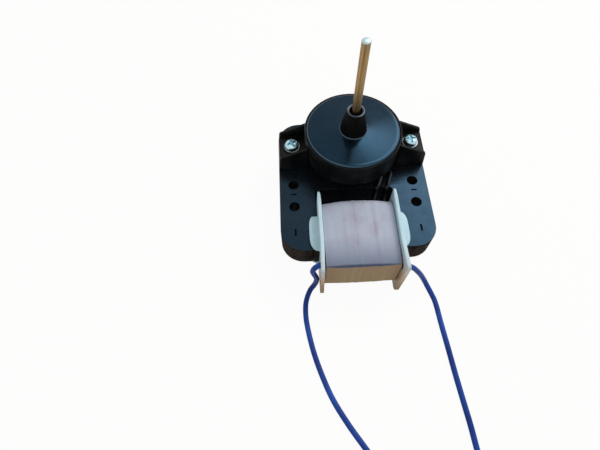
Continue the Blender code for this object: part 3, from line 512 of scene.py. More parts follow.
print("points in the routes", [len(route) for route, tangent, heading in LEADS.values()])

# %% [markdown]
# The sheath is smooth blue plastic with a soft sheen. Its colour varies a little along the wire, where
# hands have dulled it, and a very fine bump keeps the highlight from being perfectly even. The bare ends
# are tinned copper.

# %% Lead finishes
blue_sheath = new_finish("blue_sheath", specular=0.15)
dulled = speckle(blue_sheath, 90, 3)
set_colour(blue_sheath, two_tones(blue_sheath, dulled, (0.008, 0.034, 0.21), (0.015, 0.068, 0.34)))
set_roughness(blue_sheath, speckle(blue_sheath, 700), 0.34, 0.48)
add_bump(blue_sheath, speckle(blue_sheath, 1500), 0.00001, 0.4)

tinned_copper = grained("tinned_copper", (0.683, 0.667, 0.634), (0.737, 0.724, 0.697), 2500, (0.25, 0.5),
                        relief=0.00004, detail=1)
white_thread = grained("white_thread", (0.63, 0.63, 0.60), (0.70, 0.70, 0.67), 3000, (0.7, 0.9), (1, 1, 3),
                       0.00004, 0.5, detail=2, metallic=0.0, specular=0.3)

# %% Leads, bare ends and ties
TAIL_RADIUS = 0.55 * MM
TIE_WIDTH = 1.8 * MM
TIE_THICKNESS = 0.2 * MM
TIE_CORNER = 0.9 * MM
KNOT_RADIUS = 0.75 * MM
KNOT_SHAPE = (1.2, 0.8, 0.6)


def round_wire(name, points, radius, material, resolution=5):
    curve = bpy.data.curves.new(name, 'CURVE')
    curve.dimensions = '3D'
    curve.bevel_depth = radius
    curve.bevel_resolution = resolution
    curve.use_fill_caps = True
    spline = curve.splines.new('POLY')
    spline.points.add(len(points) - 1)
    for point, place in zip(spline.points, points):
        point.co = (*place, 1)
    spline.use_smooth = True
    curve.materials.append(material)
    return add_object(name, curve)


def build_tie(name, tangent, heading):
    """A flat band round the three turns, with a small knot on top."""
    centre = coil_centre(tangent, heading)
    angle = math.radians(heading + 90 - TIE_ANGLE)
    height = LEAD_RADIUS * 2 + 2 * TURN_RISE
    bm = bmesh.new()
    bmesh.ops.create_cube(bm, size=1)
    bmesh.ops.scale(bm, verts=bm.verts, vec=(2 * LEAD_RADIUS, TIE_WIDTH, height))
    ends = [face for face in bm.faces if abs(face.normal.y) > 0.9]
    bmesh.ops.delete(bm, geom=ends, context='FACES_ONLY')
    corners = [edge for edge in bm.edges if len(edge.link_faces) == 2]
    bmesh.ops.bevel(bm, geom=corners, offset=TIE_CORNER, offset_type='OFFSET', segments=5, profile=0.5,
                    affect='EDGES', material=-1)
    bmesh.ops.recalc_face_normals(bm, faces=bm.faces)
    bmesh.ops.solidify(bm, geom=bm.faces, thickness=-TIE_THICKNESS)
    knot = bmesh.ops.create_icosphere(bm, subdivisions=2, radius=KNOT_RADIUS)["verts"]
    bmesh.ops.scale(bm, verts=knot, vec=KNOT_SHAPE)
    bmesh.ops.translate(bm, verts=knot, vec=(0, 0, height / 2))
    middle = centre + Vector((math.cos(angle), math.sin(angle))) * COIL_RADIUS
    lifted = LEAD_REST - LEAD_RADIUS + height / 2 + TIE_LIFT
    bm.transform(Matrix.Translation((*middle, lifted)) @ Matrix.Rotation(angle, 4, 'Z'))
    return finish_piece(bm, name, [white_thread], edge=0.06 * MM)


for side, (route, tangent, heading) in LEADS.items():
    points, tail = lead_points(route, tangent, heading)
    lead = round_wire(f"lead_wire_{side}", points, LEAD_RADIUS, blue_sheath, 7)
    bare = round_wire(f"bare_end_{side}", tail, TAIL_RADIUS, tinned_copper, 3)
    tie = build_tie(f"lead_tie_{side}", tangent, heading)
    for piece, slot in ((lead, "blue_sheath"), (bare, "zinc_plate")):
        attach(piece, "stator")
    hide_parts(f"lead_{side}", f"lead_{side}_coil")
    print(side, "lead", round(measured(points) / MM), "mm")

# %% [markdown]
# The shaft is a ground steel rod, browned by oil and handling, with a bright turned tip. It is a turned
# part, so its half section is drawn once and spun. The tip is slightly domed, which no chamfer would show.
# Long faint streaks along the rod come from a noise that is squeezed along Z. The tip's bright metal is
# mixed in by height, and so is a painted shade that darkens the rod down into the throat of the cone.

# %% Shaft
SHAFT_TOP = high_corner("shaft").z
SHAFT_BOTTOM = low_corner("shaft").z
NECK_TOP = high_corner("oil_cap").z
TIP_LENGTH = 0.7 * MM
FOOT_CHAMFER = 0.5 * MM

shaft_steel = new_finish("shaft_steel", metallic=1.0)
streaks = speckle(shaft_steel, 1400, 3, stretch=(1, 1, 0.02))
oiled = two_tones(shaft_steel, streaks, (0.16, 0.098, 0.030), (0.47, 0.303, 0.138))
blotches = spread(shaft_steel, speckle(shaft_steel, 160, 4), 0.4, 0.65, 0, 0.5)
oiled = mixed(shaft_steel, blotches, oiled, (0.22, 0.175, 0.105))
shaft_height = height_on_piece(shaft_steel)
# Painted shade: the rod gets darker down towards and into the cone's throat.
shade_near_neck = spread(shaft_steel, shaft_height, NECK_TOP + 13 * MM, NECK_TOP - 1 * MM, 0, 0.87)
oiled = mixed(shaft_steel, shade_near_neck, oiled, (0.035, 0.032, 0.014))
at_tip = spread(shaft_steel, shaft_height, SHAFT_TOP - TIP_LENGTH, SHAFT_TOP - TIP_LENGTH * 0.7)
set_colour(shaft_steel, mixed(shaft_steel, at_tip, oiled, (0.42, 0.56, 0.60)))
set_roughness(shaft_steel, streaks, 0.28, 0.5)
add_bump(shaft_steel, streaks, 0.00002, 0.5)


def build_shaft():
    radius = SHAFT_RADIUS
    half = [(0, SHAFT_TOP), (0.55 * radius, SHAFT_TOP - 0.04 * MM), (0.82 * radius, SHAFT_TOP - 0.18 * MM),
            (0.95 * radius, SHAFT_TOP - 0.42 * MM), (radius, SHAFT_TOP - TIP_LENGTH),
            (radius, SHAFT_BOTTOM + FOOT_CHAMFER), (radius - FOOT_CHAMFER, SHAFT_BOTTOM), (0, SHAFT_BOTTOM)]
    finish_piece(turned(half, 48), "shaft_rod", [shaft_steel], ["shaft"], body="rotor")


build_shaft()

# %% [markdown]
# The oil cap is a moulded black disc with a tall cone round the shaft. Its half section gives the rounded
# rim, a small fillet where the cone meets the disc, and the open throat of the cone. The disc, the greasy
# cone, and the fillet and lip, painted paler as a highlight, are three finishes, and the faces take them by
# where they lie. The disc is satin: its own colour is nearly black, and what shows is the sheen, which a blue
# specular tint brings close to the real one. The shoulder of the rim has a pale painted highlight, most of
# all on the left, in a band that is mixed in by height.

# %% Oil cap
CAP_TOP = STACK_TOP + 16.35 * MM
CAP_BOTTOM = low_corner("oil_cap").z
NECK_BASE_RADIUS = 5.35 * MM
NECK_TOP_RADIUS = 3.57 * MM
NECK_BORE = 2.5 * MM
CAP_RIM = 0.9 * MM
CAP_SHEEN = (0.18, 0.58, 1.0, 1.0)

cap_plastic = new_finish("cap_plastic", specular=0.42)
satin = two_tones(cap_plastic, speckle(cap_plastic, 130, 4), (0.0012, 0.0025, 0.004), (0.003, 0.006, 0.009))
cap_height = height_on_piece(cap_plastic)
# Painted highlight on the shoulder of the rim, strongest on the left.
above = spread(cap_plastic, cap_height, CAP_TOP - 0.7 * MM, CAP_TOP - 0.5 * MM)
below = spread(cap_plastic, cap_height, CAP_TOP - 0.16 * MM, CAP_TOP - 0.03 * MM, 1, 0)
shoulder = reckon(cap_plastic, 'MULTIPLY', above, below)
to_left = spread(cap_plastic, height_on_piece(cap_plastic, "X"), 12 * MM, -8 * MM, 0.2, 0.8)
cap_rim_highlight = reckon(cap_plastic, 'MULTIPLY', shoulder, to_left)
set_colour(cap_plastic, mixed(cap_plastic, cap_rim_highlight, satin, (0.085, 0.125, 0.155)))
set_roughness(cap_plastic, speckle(cap_plastic, 260, 5), 0.14, 0.19)
set_inputs(shader_of(cap_plastic), {"Specular Tint": CAP_SHEEN})
add_bump(cap_plastic, speckle(cap_plastic, 2600, 2), 0.000003, 0.5)

neck_plastic = new_finish("neck_plastic", specular=0.05)
greasy = speckle(neck_plastic, 180, 4)
set_colour(neck_plastic, two_tones(neck_plastic, greasy, (0.0012, 0.0014, 0.0014), (0.004, 0.0038, 0.0036)))
set_roughness(neck_plastic, speckle(neck_plastic, 400, 3), 0.3, 0.45)
add_bump(neck_plastic, speckle(neck_plastic, 1400, 3), 0.00001, 0.5)

# Painted highlight on the fillet at the cone's foot and on the lip of its throat.
edge_highlight = grained("edge_highlight", (0.015, 0.026, 0.040), (0.080, 0.115, 0.150), 300, (0.28, 0.4, 0.35, 0.65),
                    relief=0.00001, strength=0.5, detail=4, metallic=0.0, fine=(1800, 2))


def arc_points(centre, radius, start, end, steps):
    """Points on an arc between two angles in degrees."""
    points = []
    for i in range(steps + 1):
        angle = math.radians(start + (end - start) * i / steps)
        points.append((centre[0] + radius * math.cos(angle), centre[1] + radius * math.sin(angle)))
    return points


def build_cap():
    lip = 0.4 * MM
    fillet = 0.5 * MM
    near = 0.1 * MM
    half = [(NECK_BORE, CAP_BOTTOM), (NECK_BORE, NECK_TOP - lip)]
    half += arc_points((NECK_BORE + lip, NECK_TOP - lip), lip, 180, 90, 4)
    half += arc_points((NECK_TOP_RADIUS - lip, NECK_TOP - lip), lip, 90, 10, 4)
    half += arc_points((NECK_BASE_RADIUS + fillet, CAP_TOP + fillet), fillet, 190, 270, 5)
    half += [(CAP_RADIUS - 2 * CAP_RIM, CAP_TOP)]
    half += arc_points((CAP_RADIUS - CAP_RIM, CAP_TOP - CAP_RIM), CAP_RIM, 90, 0, 6)
    half += [(CAP_RADIUS, CAP_BOTTOM)]
    bm = turned(half, 128, closed=True)
    for face in bm.faces:
        centre = face.calc_center_median()
        radius = math.hypot(centre.x, centre.y)
        on_fillet = CAP_TOP + near / 2 < centre.z < CAP_TOP + fillet and radius > NECK_BASE_RADIUS - near
        on_lip = centre.z > NECK_TOP - lip and radius < NECK_TOP_RADIUS - near
        on_neck = centre.z > CAP_TOP + near or radius < NECK_BORE + near
        face.material_index = 2 if on_fillet or on_lip else 1 if on_neck else 0
    finishes = [cap_plastic, neck_plastic, edge_highlight]
    finish_piece(bm, "cap_moulding", finishes, ["oil_cap"])


build_cap()

# %% [markdown]
# The bearing housing below the cap is one moulding: a round cup and two channel-shaped arms that take the
# screws. The imported solid already has its walls, floors and holes, so it is copied, its loose triangles are
# joined, and its sharp edges get a small bevel. The material is a plainer, darker black than the cap, with
# a little grey where the mould has worn and dust has settled, and a pale warm line along the back of the
# cup's rim, which is a painted reflection.

# %% Bearing housing
CUP_RIM = STACK_TOP + 15.9 * MM

black_casting = new_finish("black_casting", specular=0.09)
dust = spread(black_casting, speckle(black_casting, 160, 5), 0.45, 0.72)
moulded = mixed(black_casting, dust, (0.0026, 0.0032, 0.0032), (0.0110, 0.0110, 0.0110))
cup_height = height_on_piece(black_casting)
# Painted reflection: a pale warm line along the back of the cup's rim.
at_rim = spread(black_casting, cup_height, CUP_RIM - 0.35 * MM, CUP_RIM - 0.1 * MM, 0, 0.45)
at_back = spread(black_casting, height_on_piece(black_casting, "Y"), -10 * MM, 4 * MM)
cup_rim_reflection = reckon(black_casting, 'MULTIPLY', at_rim, at_back)
set_colour(black_casting, mixed(black_casting, cup_rim_reflection, moulded, (0.060, 0.050, 0.042)))
set_roughness(black_casting, speckle(black_casting, 500, 3), 0.3, 0.45)
add_bump(black_casting, speckle(black_casting, 1800, 3), 0.00002, 0.5)


def build_housing():
    bm = softened_copy("upper_bearing_housing", 0.14 * MM)
    finish_piece(bm, "housing_moulding", [black_casting], ["upper_bearing_housing"],
                 smooth=FLAT_ANGLE)


build_housing()

# %% [markdown]
# The stack is about twenty punched sheets pressed together. From above only the top sheet shows, blackened
# and slightly blue. The punched edges on the sides are bare under a coat of brownish varnish, which is a
# little different on each sheet, and the holes, the slots and the shallow marks in the top are painted near
# black as the shade inside them.
# A copy of the solid gets softened edges, apart from those of the marks, which are too shallow for them.
# Then comes a shallow groove at each joint between two sheets: three level cuts, of which the middle one is
# drawn in along its normals.

# %% Stack of sheets
SHEETS = 21
GROOVE_HALF = 0.06 * MM
GROOVE_DEPTH = 0.045 * MM
STACK_CORNER = 9.0 * MM
OUTER_BAND = 0.6 * MM
MARK_LIMIT = 0.6 * MM
MARK_FLOOR = (0.5 * MM, 0.2 * MM)
SHEET_SHEEN = (0.25, 0.61, 1.0, 1.0)


def groove_sheets(bm):
    """Draw the outline in a little at each joint between two sheets."""
    sheet = (STACK_TOP - STACK_BOTTOM) / SHEETS
    for number in range(1, SHEETS):
        level = STACK_BOTTOM + sheet * number
        for offset in (-GROOVE_HALF, 0, GROOVE_HALF):
            cut_across(bm, 2, level + offset)
        bm.normal_update()
        for vert in bm.verts:
            if abs(vert.co.z - level) < 0.001 * MM:
                vert.co -= Vector((vert.normal.x, vert.normal.y, 0)) * GROOVE_DEPTH


def outline_distance(point):
    """How far a point lies inside the rounded outline of the stack, in metres."""
    middle, half = (STACK_LOW + STACK_HIGH) / 2, (STACK_HIGH - STACK_LOW) / 2
    inset_x = abs(point.x - middle.x) - half.x + STACK_CORNER
    inset_y = abs(point.y - middle.y) - half.y + STACK_CORNER
    outside = math.hypot(max(inset_x, 0), max(inset_y, 0))
    return STACK_CORNER - outside - min(max(inset_x, inset_y), 0)


def off_marks(edge):
    """True for an edge that belongs to no wall or floor of a shallow mark in the top."""
    heights = [face.calc_center_median().z for face in edge.link_faces]
    return not any(STACK_TOP - MARK_LIMIT < height < STACK_TOP - 0.01 * MM for height in heights)


def sheet_edges(bm):
    """Outer punched edges take the second finish; holes, slots, the window and the marks the third, painted
    shade.
    """
    for face in bm.faces:
        centre = face.calc_center_median()
        upright = abs(face.normal.z) < 0.5
        sunk = STACK_TOP - MARK_FLOOR[0] < centre.z < STACK_TOP - MARK_FLOOR[1]
        if outline_distance(centre) > OUTER_BAND and (upright or sunk):
            face.material_index = 2
        elif upright:
            face.material_index = 1
        else:
            face.material_index = 0


sheet_top = new_finish("sheet_top", specular=0.40)
bloom = spread(sheet_top, speckle(sheet_top, 70, 4), 0.35, 0.68)
tone = mixed(sheet_top, bloom, (0.0040, 0.0046, 0.0048), (0.0095, 0.0115, 0.0135))
specks = spread(sheet_top, speckle(sheet_top, 1500, 2), 0.70, 0.74, 0, 0.5)
set_colour(sheet_top, mixed(sheet_top, specks, tone, (0.07, 0.09, 0.10)))
set_roughness(sheet_top, speckle(sheet_top, 240, 5), 0.22, 0.30)
set_inputs(shader_of(sheet_top), {"Specular Tint": SHEET_SHEEN})
add_bump(sheet_top, speckle(sheet_top, 1600, 3), 0.000004, 0.5)

varnished_edge = new_finish("varnished_edge", specular=0.0)
runs = speckle(varnished_edge, 420, 4, stretch=(1, 1, 0.12))
by_sheet = speckle(varnished_edge, 1100, 1, stretch=(0.02, 0.02, 1))
both = reckon(varnished_edge, 'ADD', spread(varnished_edge, runs, 0.35, 0.65, 0, 0.5),
              spread(varnished_edge, by_sheet, 0.35, 0.65, 0, 0.5))
set_colour(varnished_edge, mixed(varnished_edge, both, (0.012, 0.0074, 0.0034), (0.057, 0.034, 0.0145)))
set_roughness(varnished_edge, runs, 0.45, 0.7)
add_bump(varnished_edge, runs, 0.00004, 0.6)

# Painted shade: the walls of holes, slots and the window, and the marks in the top, are near black.
hollow_shade = grained("hollow_shade", (0.0030, 0.0042, 0.0036), (0.0105, 0.0108, 0.0082), 350,
                     (0.35, 0.6, 0.35, 0.65), detail=4, metallic=0.0, specular=0.01, fine=(900, 3))


def build_stack():
    finishes = [sheet_top, varnished_edge, hollow_shade]
    for node, name in (("stator_core", "sheet_stack"), ("bridge_core", "bridge_sheets")):
        bm = softened_copy(node, 0.09 * MM, 2, 60, off_marks)
        groove_sheets(bm)
        sheet_edges(bm)
        finish_piece(bm, name, finishes, [node], smooth=FLAT_ANGLE)


build_stack()

# %% [markdown]
# The bobbin is white nylon with a faint blue-green cast. At the front a painted warm light makes it cream,
# and towards the foot a painted warm shade makes it tan. The copy of its solid gets rounder edges than the
# metal parts have, because thin moulded walls never end sharp. Three moves then give the flanges their true
# form: the back tips get thin and round, the front feet become quarter rounds, and the winding presses the
# free fronts apart. Each one first cuts the walls across, so that there are points to move. Subsurface light
# makes thin nylon glow, and a low weight of it is enough here.

# %% Bobbin
FLANGE_SPLAY = 0.5 * MM
FLANGE_HALF = 0.75 * MM
FLANGE_MIDDLE = 15.0 * MM
TIP_REACH = 5.0 * MM
TIP_STEPS = 6
TIP_LEFT = 0.25
FOOT_ROUND = 3.6 * MM
FOOT_STEPS = 6

white_nylon = new_finish("white_nylon", specular=0.4)
cast = two_tones(white_nylon, speckle(white_nylon, 120, 3), (0.46, 0.65, 0.71), (0.56, 0.72, 0.78))
blurred = spread(white_nylon, speckle(white_nylon, 200, 3), 0.3, 0.7, -1.5 * MM, 1.5 * MM)
uneven = reckon(white_nylon, 'ADD', height_on_piece(white_nylon), blurred)
at_front = spread(white_nylon, height_on_piece(white_nylon, "Y"), -47 * MM, -54 * MM)
# Painted light and shade on the front: cream higher up as warm bounced light, tan towards the foot as shade.
cream_light = reckon(white_nylon, 'MULTIPLY', at_front, spread(white_nylon, uneven, 28 * MM, 16 * MM, 0, 0.9))
tan_shade = reckon(white_nylon, 'MULTIPLY', at_front, spread(white_nylon, uneven, 19 * MM, 6 * MM, 0, 0.95))
cast = mixed(white_nylon, cream_light, cast, (0.70, 0.48, 0.33))
set_colour(white_nylon, mixed(white_nylon, tan_shade, cast, (0.205, 0.120, 0.022)))
set_roughness(white_nylon, speckle(white_nylon, 400, 3), 0.42, 0.56)
set_inputs(shader_of(white_nylon), {"Subsurface Weight": 0.15, "Subsurface Scale": 1.5 * MM})
add_bump(white_nylon, speckle(white_nylon, 900, 3), 0.00002, 0.4)


def round_tips(bm):
    """The back ends of the flanges are thinner towards their tips, with a round outline from above."""
    for number in range(TIP_STEPS):
        cut_across(bm, 1, BOBBIN_HIGH.y - TIP_REACH * (1 - number / TIP_STEPS))
    for vert in bm.verts:
        along = 1 - (BOBBIN_HIGH.y - vert.co.y) / TIP_REACH
        middle = math.copysign(FLANGE_MIDDLE, vert.co.x)
        if along > 0 and abs(vert.co.x - middle) < FLANGE_HALF + 0.05 * MM:
            share = TIP_LEFT + (1 - TIP_LEFT) * math.sqrt(max(0, 1 - along * along))
            vert.co.x = middle + (vert.co.x - middle) * share


def round_feet(bm):
    """The lower front corner of each flange is a quarter round in the side view."""
    for number in range(FOOT_STEPS):
        cut_across(bm, 1, BOBBIN_LOW.y + FOOT_ROUND * (number + 0.4) / FOOT_STEPS)
    for vert in bm.verts:
        back = FOOT_ROUND - (vert.co.y - BOBBIN_LOW.y)
        if back > 0:
            rise = FOOT_ROUND - math.sqrt(FOOT_ROUND ** 2 - back ** 2)
            vert.co.z = max(vert.co.z, BOBBIN_LOW.z + rise)


def splay_flanges(bm, start, end):
    """The winding presses the free front of the flanges apart, and most of all at the top."""
    cut_across(bm, 1, start)
    for vert in bm.verts:
        along = (start - vert.co.y) / (start - end)
        if along > 0:
            rise = max(0, vert.co.z / BOBBIN_HIGH.z)
            vert.co.x += math.copysign(FLANGE_SPLAY * along * rise, vert.co.x)


def build_bobbin():
    bm = softened_copy("bobbin", 0.3 * MM, 3)
    round_tips(bm)
    round_feet(bm)
    splay_flanges(bm, STACK_LOW.y - 0.3 * MM, BOBBIN_LOW.y)
    finish_piece(bm, "bobbin_moulding", [white_nylon], ["bobbin"])


build_bobbin()

# %% [markdown]
# The coil is wrapped in a few turns of white tape. The tape's edges and overlaps show as seams that run
# over the top from back to front, slightly slanted, each a small step with a soft grey painted shade beside
# it, and a short pinched wrinkle lies near the left flange. The solid's own outline is kept: a copy is cut
# into thin slices along X and Y, and the outer skin is then moved in or out by about a tenth of a
# millimetre, the same way all round a slice, as layers of tape do. Painted shade makes the top darker
# towards the fold at the front, where a narrow painted line of shade is nearly black, and the warm brown
# below it is painted warm shade on the front face.

# %% Coil tape
TAPE_LOW, TAPE_HIGH = low_corner("coil_tape"), high_corner("coil_tape")
TAPE_MIDDLE = (TAPE_LOW + TAPE_HIGH) / 2
TAPE_SLICES = 60
TAPE_ROWS = 22
TAPE_RELIEF = 0.05 * MM
TAPE_END = 1.5 * MM
TAPE_SEAMS = (-6.1 * MM, -1.9 * MM, 5.4 * MM)
SEAM_SHADES = (0.3, 0.5, 0.55)
SEAM_RISE = 0.13 * MM
SEAM_RUN = 1.4 * MM
SEAM_SINK = 0.3
SEAM_SLANT = 0.01
FOLD_Y = TAPE_LOW.y
FOLD_Z = max(vert.co.z for vert in nodes["coil_tape"].data.vertices if vert.co.y < FOLD_Y + 0.05 * MM)
print("the front fold is", round(FOLD_Z / MM, 1), "mm high")

white_tape = new_finish("white_tape", specular=0.25)
along_y = height_on_piece(white_tape, "Y")
along_z = height_on_piece(white_tape)
layers = speckle(white_tape, 420, 4, stretch=(1, 0.04, 0.04))
clouds = speckle(white_tape, 190, 4)
flecks = speckle(white_tape, 260, 3)
paper = mixed(white_tape, spread(white_tape, layers, 0.3, 0.7), (0.39, 0.42, 0.50), (0.46, 0.48, 0.57))
paper = mixed(white_tape, spread(white_tape, clouds, 0.46, 0.66, 0, 0.6), paper, (0.40, 0.35, 0.43))
paper = mixed(white_tape, spread(white_tape, flecks, 0.52, 0.7, 0, 0.5), paper, (0.42, 0.46, 0.52))
across = height_on_piece(white_tape, "X", (0, 0, -math.atan(SEAM_SLANT)), (-SEAM_SLANT * TAPE_MIDDLE.y, 0, 0))
for seam, shade in zip(TAPE_SEAMS, SEAM_SHADES):
    step = spread(white_tape, across, seam - 0.2 * MM, seam + 0.05 * MM)
    fade = spread(white_tape, across, seam + 0.15 * MM, seam + 1.8 * MM, shade, 0)
    fade = reckon(white_tape, 'MULTIPLY', fade, spread(white_tape, clouds, 0.4, 0.6, 0.4, 1))
    paper = mixed(white_tape, reckon(white_tape, 'MULTIPLY', step, fade), paper, (0.27, 0.25, 0.31))
# Painted shade: the top darkens towards the front fold, with a nearly black painted line at the fold.
shade_near_fold = spread(white_tape, along_y, FOLD_Y + 12 * MM, FOLD_Y + 1.8 * MM, 0, 0.95)
paper = mixed(white_tape, shade_near_fold, paper, (0.215, 0.245, 0.325))
shade_at_fold = spread(white_tape, along_y, FOLD_Y + 0.85 * MM, FOLD_Y + 0.6 * MM, 0, 0.8)
paper = mixed(white_tape, shade_at_fold, paper, (0.035, 0.060, 0.115))
# Painted shade on the front face below the fold, warm as if lit by bounced light.
downward = spread(white_tape, along_z, 20 * MM, 6 * MM)
front_warm_shade = mixed(white_tape, downward, (0.36, 0.25, 0.150), (0.36, 0.255, 0.130))
below_fold = spread(white_tape, along_z, FOLD_Z + 0.1 * MM, FOLD_Z - 0.1 * MM)
in_front = spread(white_tape, along_y, FOLD_Y + 1.5 * MM, FOLD_Y + 1 * MM)
front = reckon(white_tape, 'MULTIPLY', below_fold, in_front)
set_colour(white_tape, mixed(white_tape, front, paper, front_warm_shade))
set_roughness(white_tape, layers, 0.5, 0.7)
add_bump(white_tape, layers, 0.00002, 0.5)
add_bump(white_tape, speckle(white_tape, 700, 3), 0.00003, 0.4)

# %% Tape wrap
CREASE_START = Vector((-13.6, -33.2)) * MM
CREASE_END = Vector((-9.6, -31.6)) * MM
CREASE_WIDTH = 0.5 * MM
CREASE_DEPTH = 0.3 * MM
LAYERS_ACROSS = 700
LAYERS_ALONG = 30
LAYER_SINK = 0.6


def crease_depth(point):
    """A short pinched wrinkle in the tape near the left flange."""
    line = CREASE_END - CREASE_START
    flat = Vector((point.x, point.y)) - CREASE_START
    share = min(max(flat.dot(line) / line.length_squared, 0), 1)
    away = (flat - line * share).length / CREASE_WIDTH
    return CREASE_DEPTH * (1 - share) * math.exp(-away * away)


def tape_relief(point):
    """How far the outer skin stands out or in, from the layers, their seams and the wrinkle."""
    place = Vector((point.x * LAYERS_ACROSS, point.y * LAYERS_ALONG, point.z * LAYERS_ALONG))
    relief = TAPE_RELIEF * (noise.noise(place) - LAYER_SINK)
    slanted = point.x + SEAM_SLANT * (point.y - TAPE_MIDDLE.y)
    for seam in TAPE_SEAMS:
        past = (slanted - seam) / SEAM_RUN
        if past > 0:
            relief += SEAM_RISE * (math.exp(-past) - SEAM_SINK)
    if point.z > STACK_TOP:
        relief -= crease_depth(point)
    from_end = min(point.x - TAPE_LOW.x, TAPE_HIGH.x - point.x)
    return relief * min(from_end / TAPE_END, 1)


def build_tape():
    bm = merged_copy("coil_tape")
    for axis, count in ((0, TAPE_SLICES), (1, TAPE_ROWS)):
        for number in range(1, count):
            cut_across(bm, axis, TAPE_LOW[axis] + (TAPE_HIGH[axis] - TAPE_LOW[axis]) * number / count)
    bm.normal_update()
    for vert in bm.verts:
        outward = Vector((0, vert.co.y - TAPE_MIDDLE.y, vert.co.z - TAPE_MIDDLE.z))
        from_end = min(vert.co.x - TAPE_LOW.x, TAPE_HIGH.x - vert.co.x)
        if vert.normal.dot(outward) > 0 and from_end > 0.01 * MM:
            vert.co += vert.normal * tape_relief(vert.co)
    finish_piece(bm, "tape_wrap", [white_tape], ["coil_tape"])


build_tape()

# %% [markdown]
# Screws, washers and nuts are zinc plated, with the pale blue-green cast of a passivated coat. The coat is
# a little uneven, so its colour and its roughness both vary, the cross recess is painted darker as shade,
# and washers and nuts are duller. A pan head with a cross recess is a dome that is spun down from a flat
# rim. The top is then filled in between that rim and a four-armed outline, and the outline is drawn down to
# a smaller floor. Washers and nuts have the right shape already, so copies of their solids only get
# softened edges.

# %% Plated finishes
zinc_plate = grained("zinc_plate", (0.36, 0.58, 0.64), (0.62, 0.80, 0.84), 650, (0.24, 0.42),
                     relief=0.00002, strength=0.5, fine=(2400, 2))
# Painted shade in the cross recess: the same plate, darker.
recess_shade_plate = grained("recess_shade_plate", (0.05, 0.15, 0.20), (0.13, 0.29, 0.35), 1200, (0.35, 0.55),
                       relief=0.00002, strength=0.5)
dull_plate = grained("dull_plate", (0.10, 0.14, 0.15), (0.30, 0.38, 0.39), 800, (0.35, 0.55),
                     relief=0.00002, strength=0.5)

# %% Screws, washers and nuts
SCREW_RADIUS = 1.8 * MM
SCREW_CHAMFER = 0.3 * MM
HEAD_HEIGHT = 1.9 * MM
HEAD_FLAT = 2.35 * MM
DOME_FLATNESS = 3.4
DOME_ROUNDNESS = 0.45
CROSS_REACH = 2.1 * MM
CROSS_HALF = 0.58 * MM
CROSS_DEPTH = 0.55 * MM
CROSS_FLOOR = 0.8


def dome_height(radius, head_radius):
    """The height of a pan head above its bearing face: nearly flat in the middle, round at the rim."""
    return HEAD_HEIGHT * (1 - (radius / head_radius) ** DOME_FLATNESS) ** DOME_ROUNDNESS


def cross_outline(turn):
    """A four-armed cross as (x, y), turned by that many degrees."""
    quarter = [(CROSS_HALF * 0.7, CROSS_REACH), (CROSS_HALF, CROSS_HALF * 1.5),
               (CROSS_HALF * 1.5, CROSS_HALF), (CROSS_REACH, CROSS_HALF * 0.7)]
    points = []
    for number in range(4):
        angle = math.radians(turn - 90 * number)
        c, s = math.cos(angle), math.sin(angle)
        points += [(x * c - y * s, x * s + y * c) for x, y in quarter]
    return points


def build_screw(side, turn):
    """A pan head with a cross recess, filled in between the round head and the cross."""
    low, high = low_corner(f"screw_{side}"), high_corner(f"screw_{side}")
    x = (low.x + high.x) / 2
    head_radius = (high.x - low.x) / 2
    seat = high.z - HEAD_HEIGHT
    radii = [HEAD_FLAT + (head_radius - HEAD_FLAT) * math.sin(math.radians(90 * i / 7)) for i in range(8)]
    profile = [(radius, seat + dome_height(radius, head_radius)) for radius in radii]
    profile += [(SCREW_RADIUS, seat), (SCREW_RADIUS, low.z + SCREW_CHAMFER),
                (SCREW_RADIUS - SCREW_CHAMFER, low.z), (0, low.z)]
    bm = turned(profile, 40, centre=(x, 0))
    bmesh.ops.remove_doubles(bm, verts=bm.verts, dist=0.001 * MM)
    rim = [edge for edge in bm.edges if edge.is_boundary]

    points = cross_outline(turn)
    verts = [bm.verts.new((x + u, v, seat + dome_height(math.hypot(u, v), head_radius))) for u, v in points]
    cross = [bm.edges.new((a, b)) for a, b in zip(verts, verts[1:] + verts[:1])]
    bmesh.ops.triangle_fill(bm, use_beauty=True, use_dissolve=False, edges=rim + cross, normal=(0, 0, 1))
    for face in [face for face in bm.faces if all(vert in verts for vert in face.verts)]:
        bm.faces.remove(face)
    sunk = bmesh.ops.extrude_edge_only(bm, edges=cross)["geom"]
    floor_verts = [item for item in sunk if isinstance(item, bmesh.types.BMVert)]
    floor_height = seat + HEAD_HEIGHT - CROSS_DEPTH
    for vert in floor_verts:
        vert.co = Vector((x + (vert.co.x - x) * CROSS_FLOOR, vert.co.y * CROSS_FLOOR, floor_height))
    floor_edges = [item for item in sunk if isinstance(item, bmesh.types.BMEdge)
                   and all(vert in floor_verts for vert in item.verts)]
    floor = bmesh.ops.triangle_fill(bm, use_beauty=True, use_dissolve=True, edges=floor_edges,
                                    normal=(0, 0, 1))["geom"]
    for item in sunk + floor:
        if isinstance(item, bmesh.types.BMFace):
            item.material_index = 1
    finishes = [zinc_plate, recess_shade_plate]
    finish_piece(bm, f"screw_plated_{side}", finishes, [f"screw_{side}"],
                 edge=0.03 * MM, edge_angle=50)


build_screw("left", 24)
build_screw("right", 6)
for side in ("left", "right"):
    for kind, edge in (("washer", 0.08 * MM), ("nut", 0.25 * MM)):
        bm = softened_copy(f"{kind}_{side}", edge, 3, 50)
        finish_piece(bm, f"{kind}_plated_{side}", [dull_plate], [f"{kind}_{side}"])

# %% [markdown]
# The lower housing is of the same black moulding as the upper one, and its copy is softened the same way.

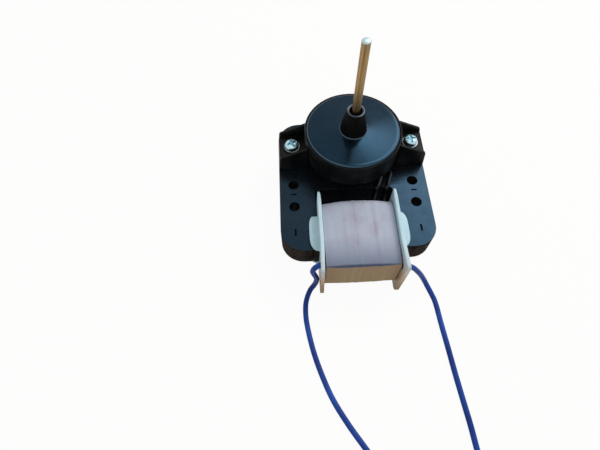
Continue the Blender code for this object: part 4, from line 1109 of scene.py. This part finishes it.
# %% Lower housing
bm = softened_copy("lower_bearing_housing", 0.12 * MM)
finish_piece(bm, "lower_moulding", [black_casting], ["lower_bearing_housing"])

# %% [markdown]
# What is left has the right shape already and keeps its solid: the shading rings, the winding, the rotor
# with its cage, and the bearings. Each only gets a finish of its own in place of the plain one. The rings
# are copper wire, coloured nearly black as painted shade.

# %% Finishes of the inner parts
enamelled_wire = grained("enamelled_wire", (0.34, 0.11, 0.04), (0.55, 0.22, 0.09), 5000, (0.3, 0.5),
                         (1, 0.02, 0.02), 0.0001)
rotor_sheets = grained("rotor_sheets", (0.14, 0.135, 0.13), (0.30, 0.29, 0.28), 2000, (0.35, 0.6),
                       (0.05, 0.05, 1), 0.00006)
cast_aluminium = grained("cast_aluminium", (0.42, 0.43, 0.44), (0.66, 0.67, 0.68), 700, (0.35, 0.6),
                         relief=0.0001)
bronze = grained("sintered_bronze", (0.26, 0.16, 0.07), (0.46, 0.31, 0.15), 3000, (0.4, 0.65), relief=0.00005)
spring_steel = grained("spring_steel", (0.22, 0.22, 0.22), (0.36, 0.36, 0.35), 900, (0.3, 0.45))
oiled_felt = grained("oiled_felt", (0.22, 0.15, 0.07), (0.42, 0.33, 0.18), 1800, (0.85, 1.0), relief=0.0003,
                     strength=0.8, detail=5, metallic=0.0, specular=0.25)

# Painted shade: the shading rings' copper is coloured nearly black.
shaded_copper = grained("shaded_copper", (0.002, 0.002, 0.0018), (0.009, 0.006, 0.0045), 500,
                      (0.16, 0.3, 0.35, 0.65), strength=0.5, metallic=0.0, specular=0.22, fine=(900, 3))

# %% Dress the inner parts
inner_parts = [("coil_winding", enamelled_wire), ("rotor_core", rotor_sheets), ("rotor_cage", cast_aluminium),
               ("bearing_retainer", spring_steel), ("oil_felt", oiled_felt)]
for end in ("upper", "lower"):
    inner_parts += [(f"{end}_bearing", bronze), (f"{end}_thrust_washer", bronze)]
inner_parts += [(f"shading_ring_{end}_{letter}", shaded_copper) for end in ("front", "back") for letter in "ab"]
for node, material in inner_parts:
    nodes[node].data.materials.clear()
    nodes[node].data.materials.append(material)
print("finishes", len(bpy.data.materials))
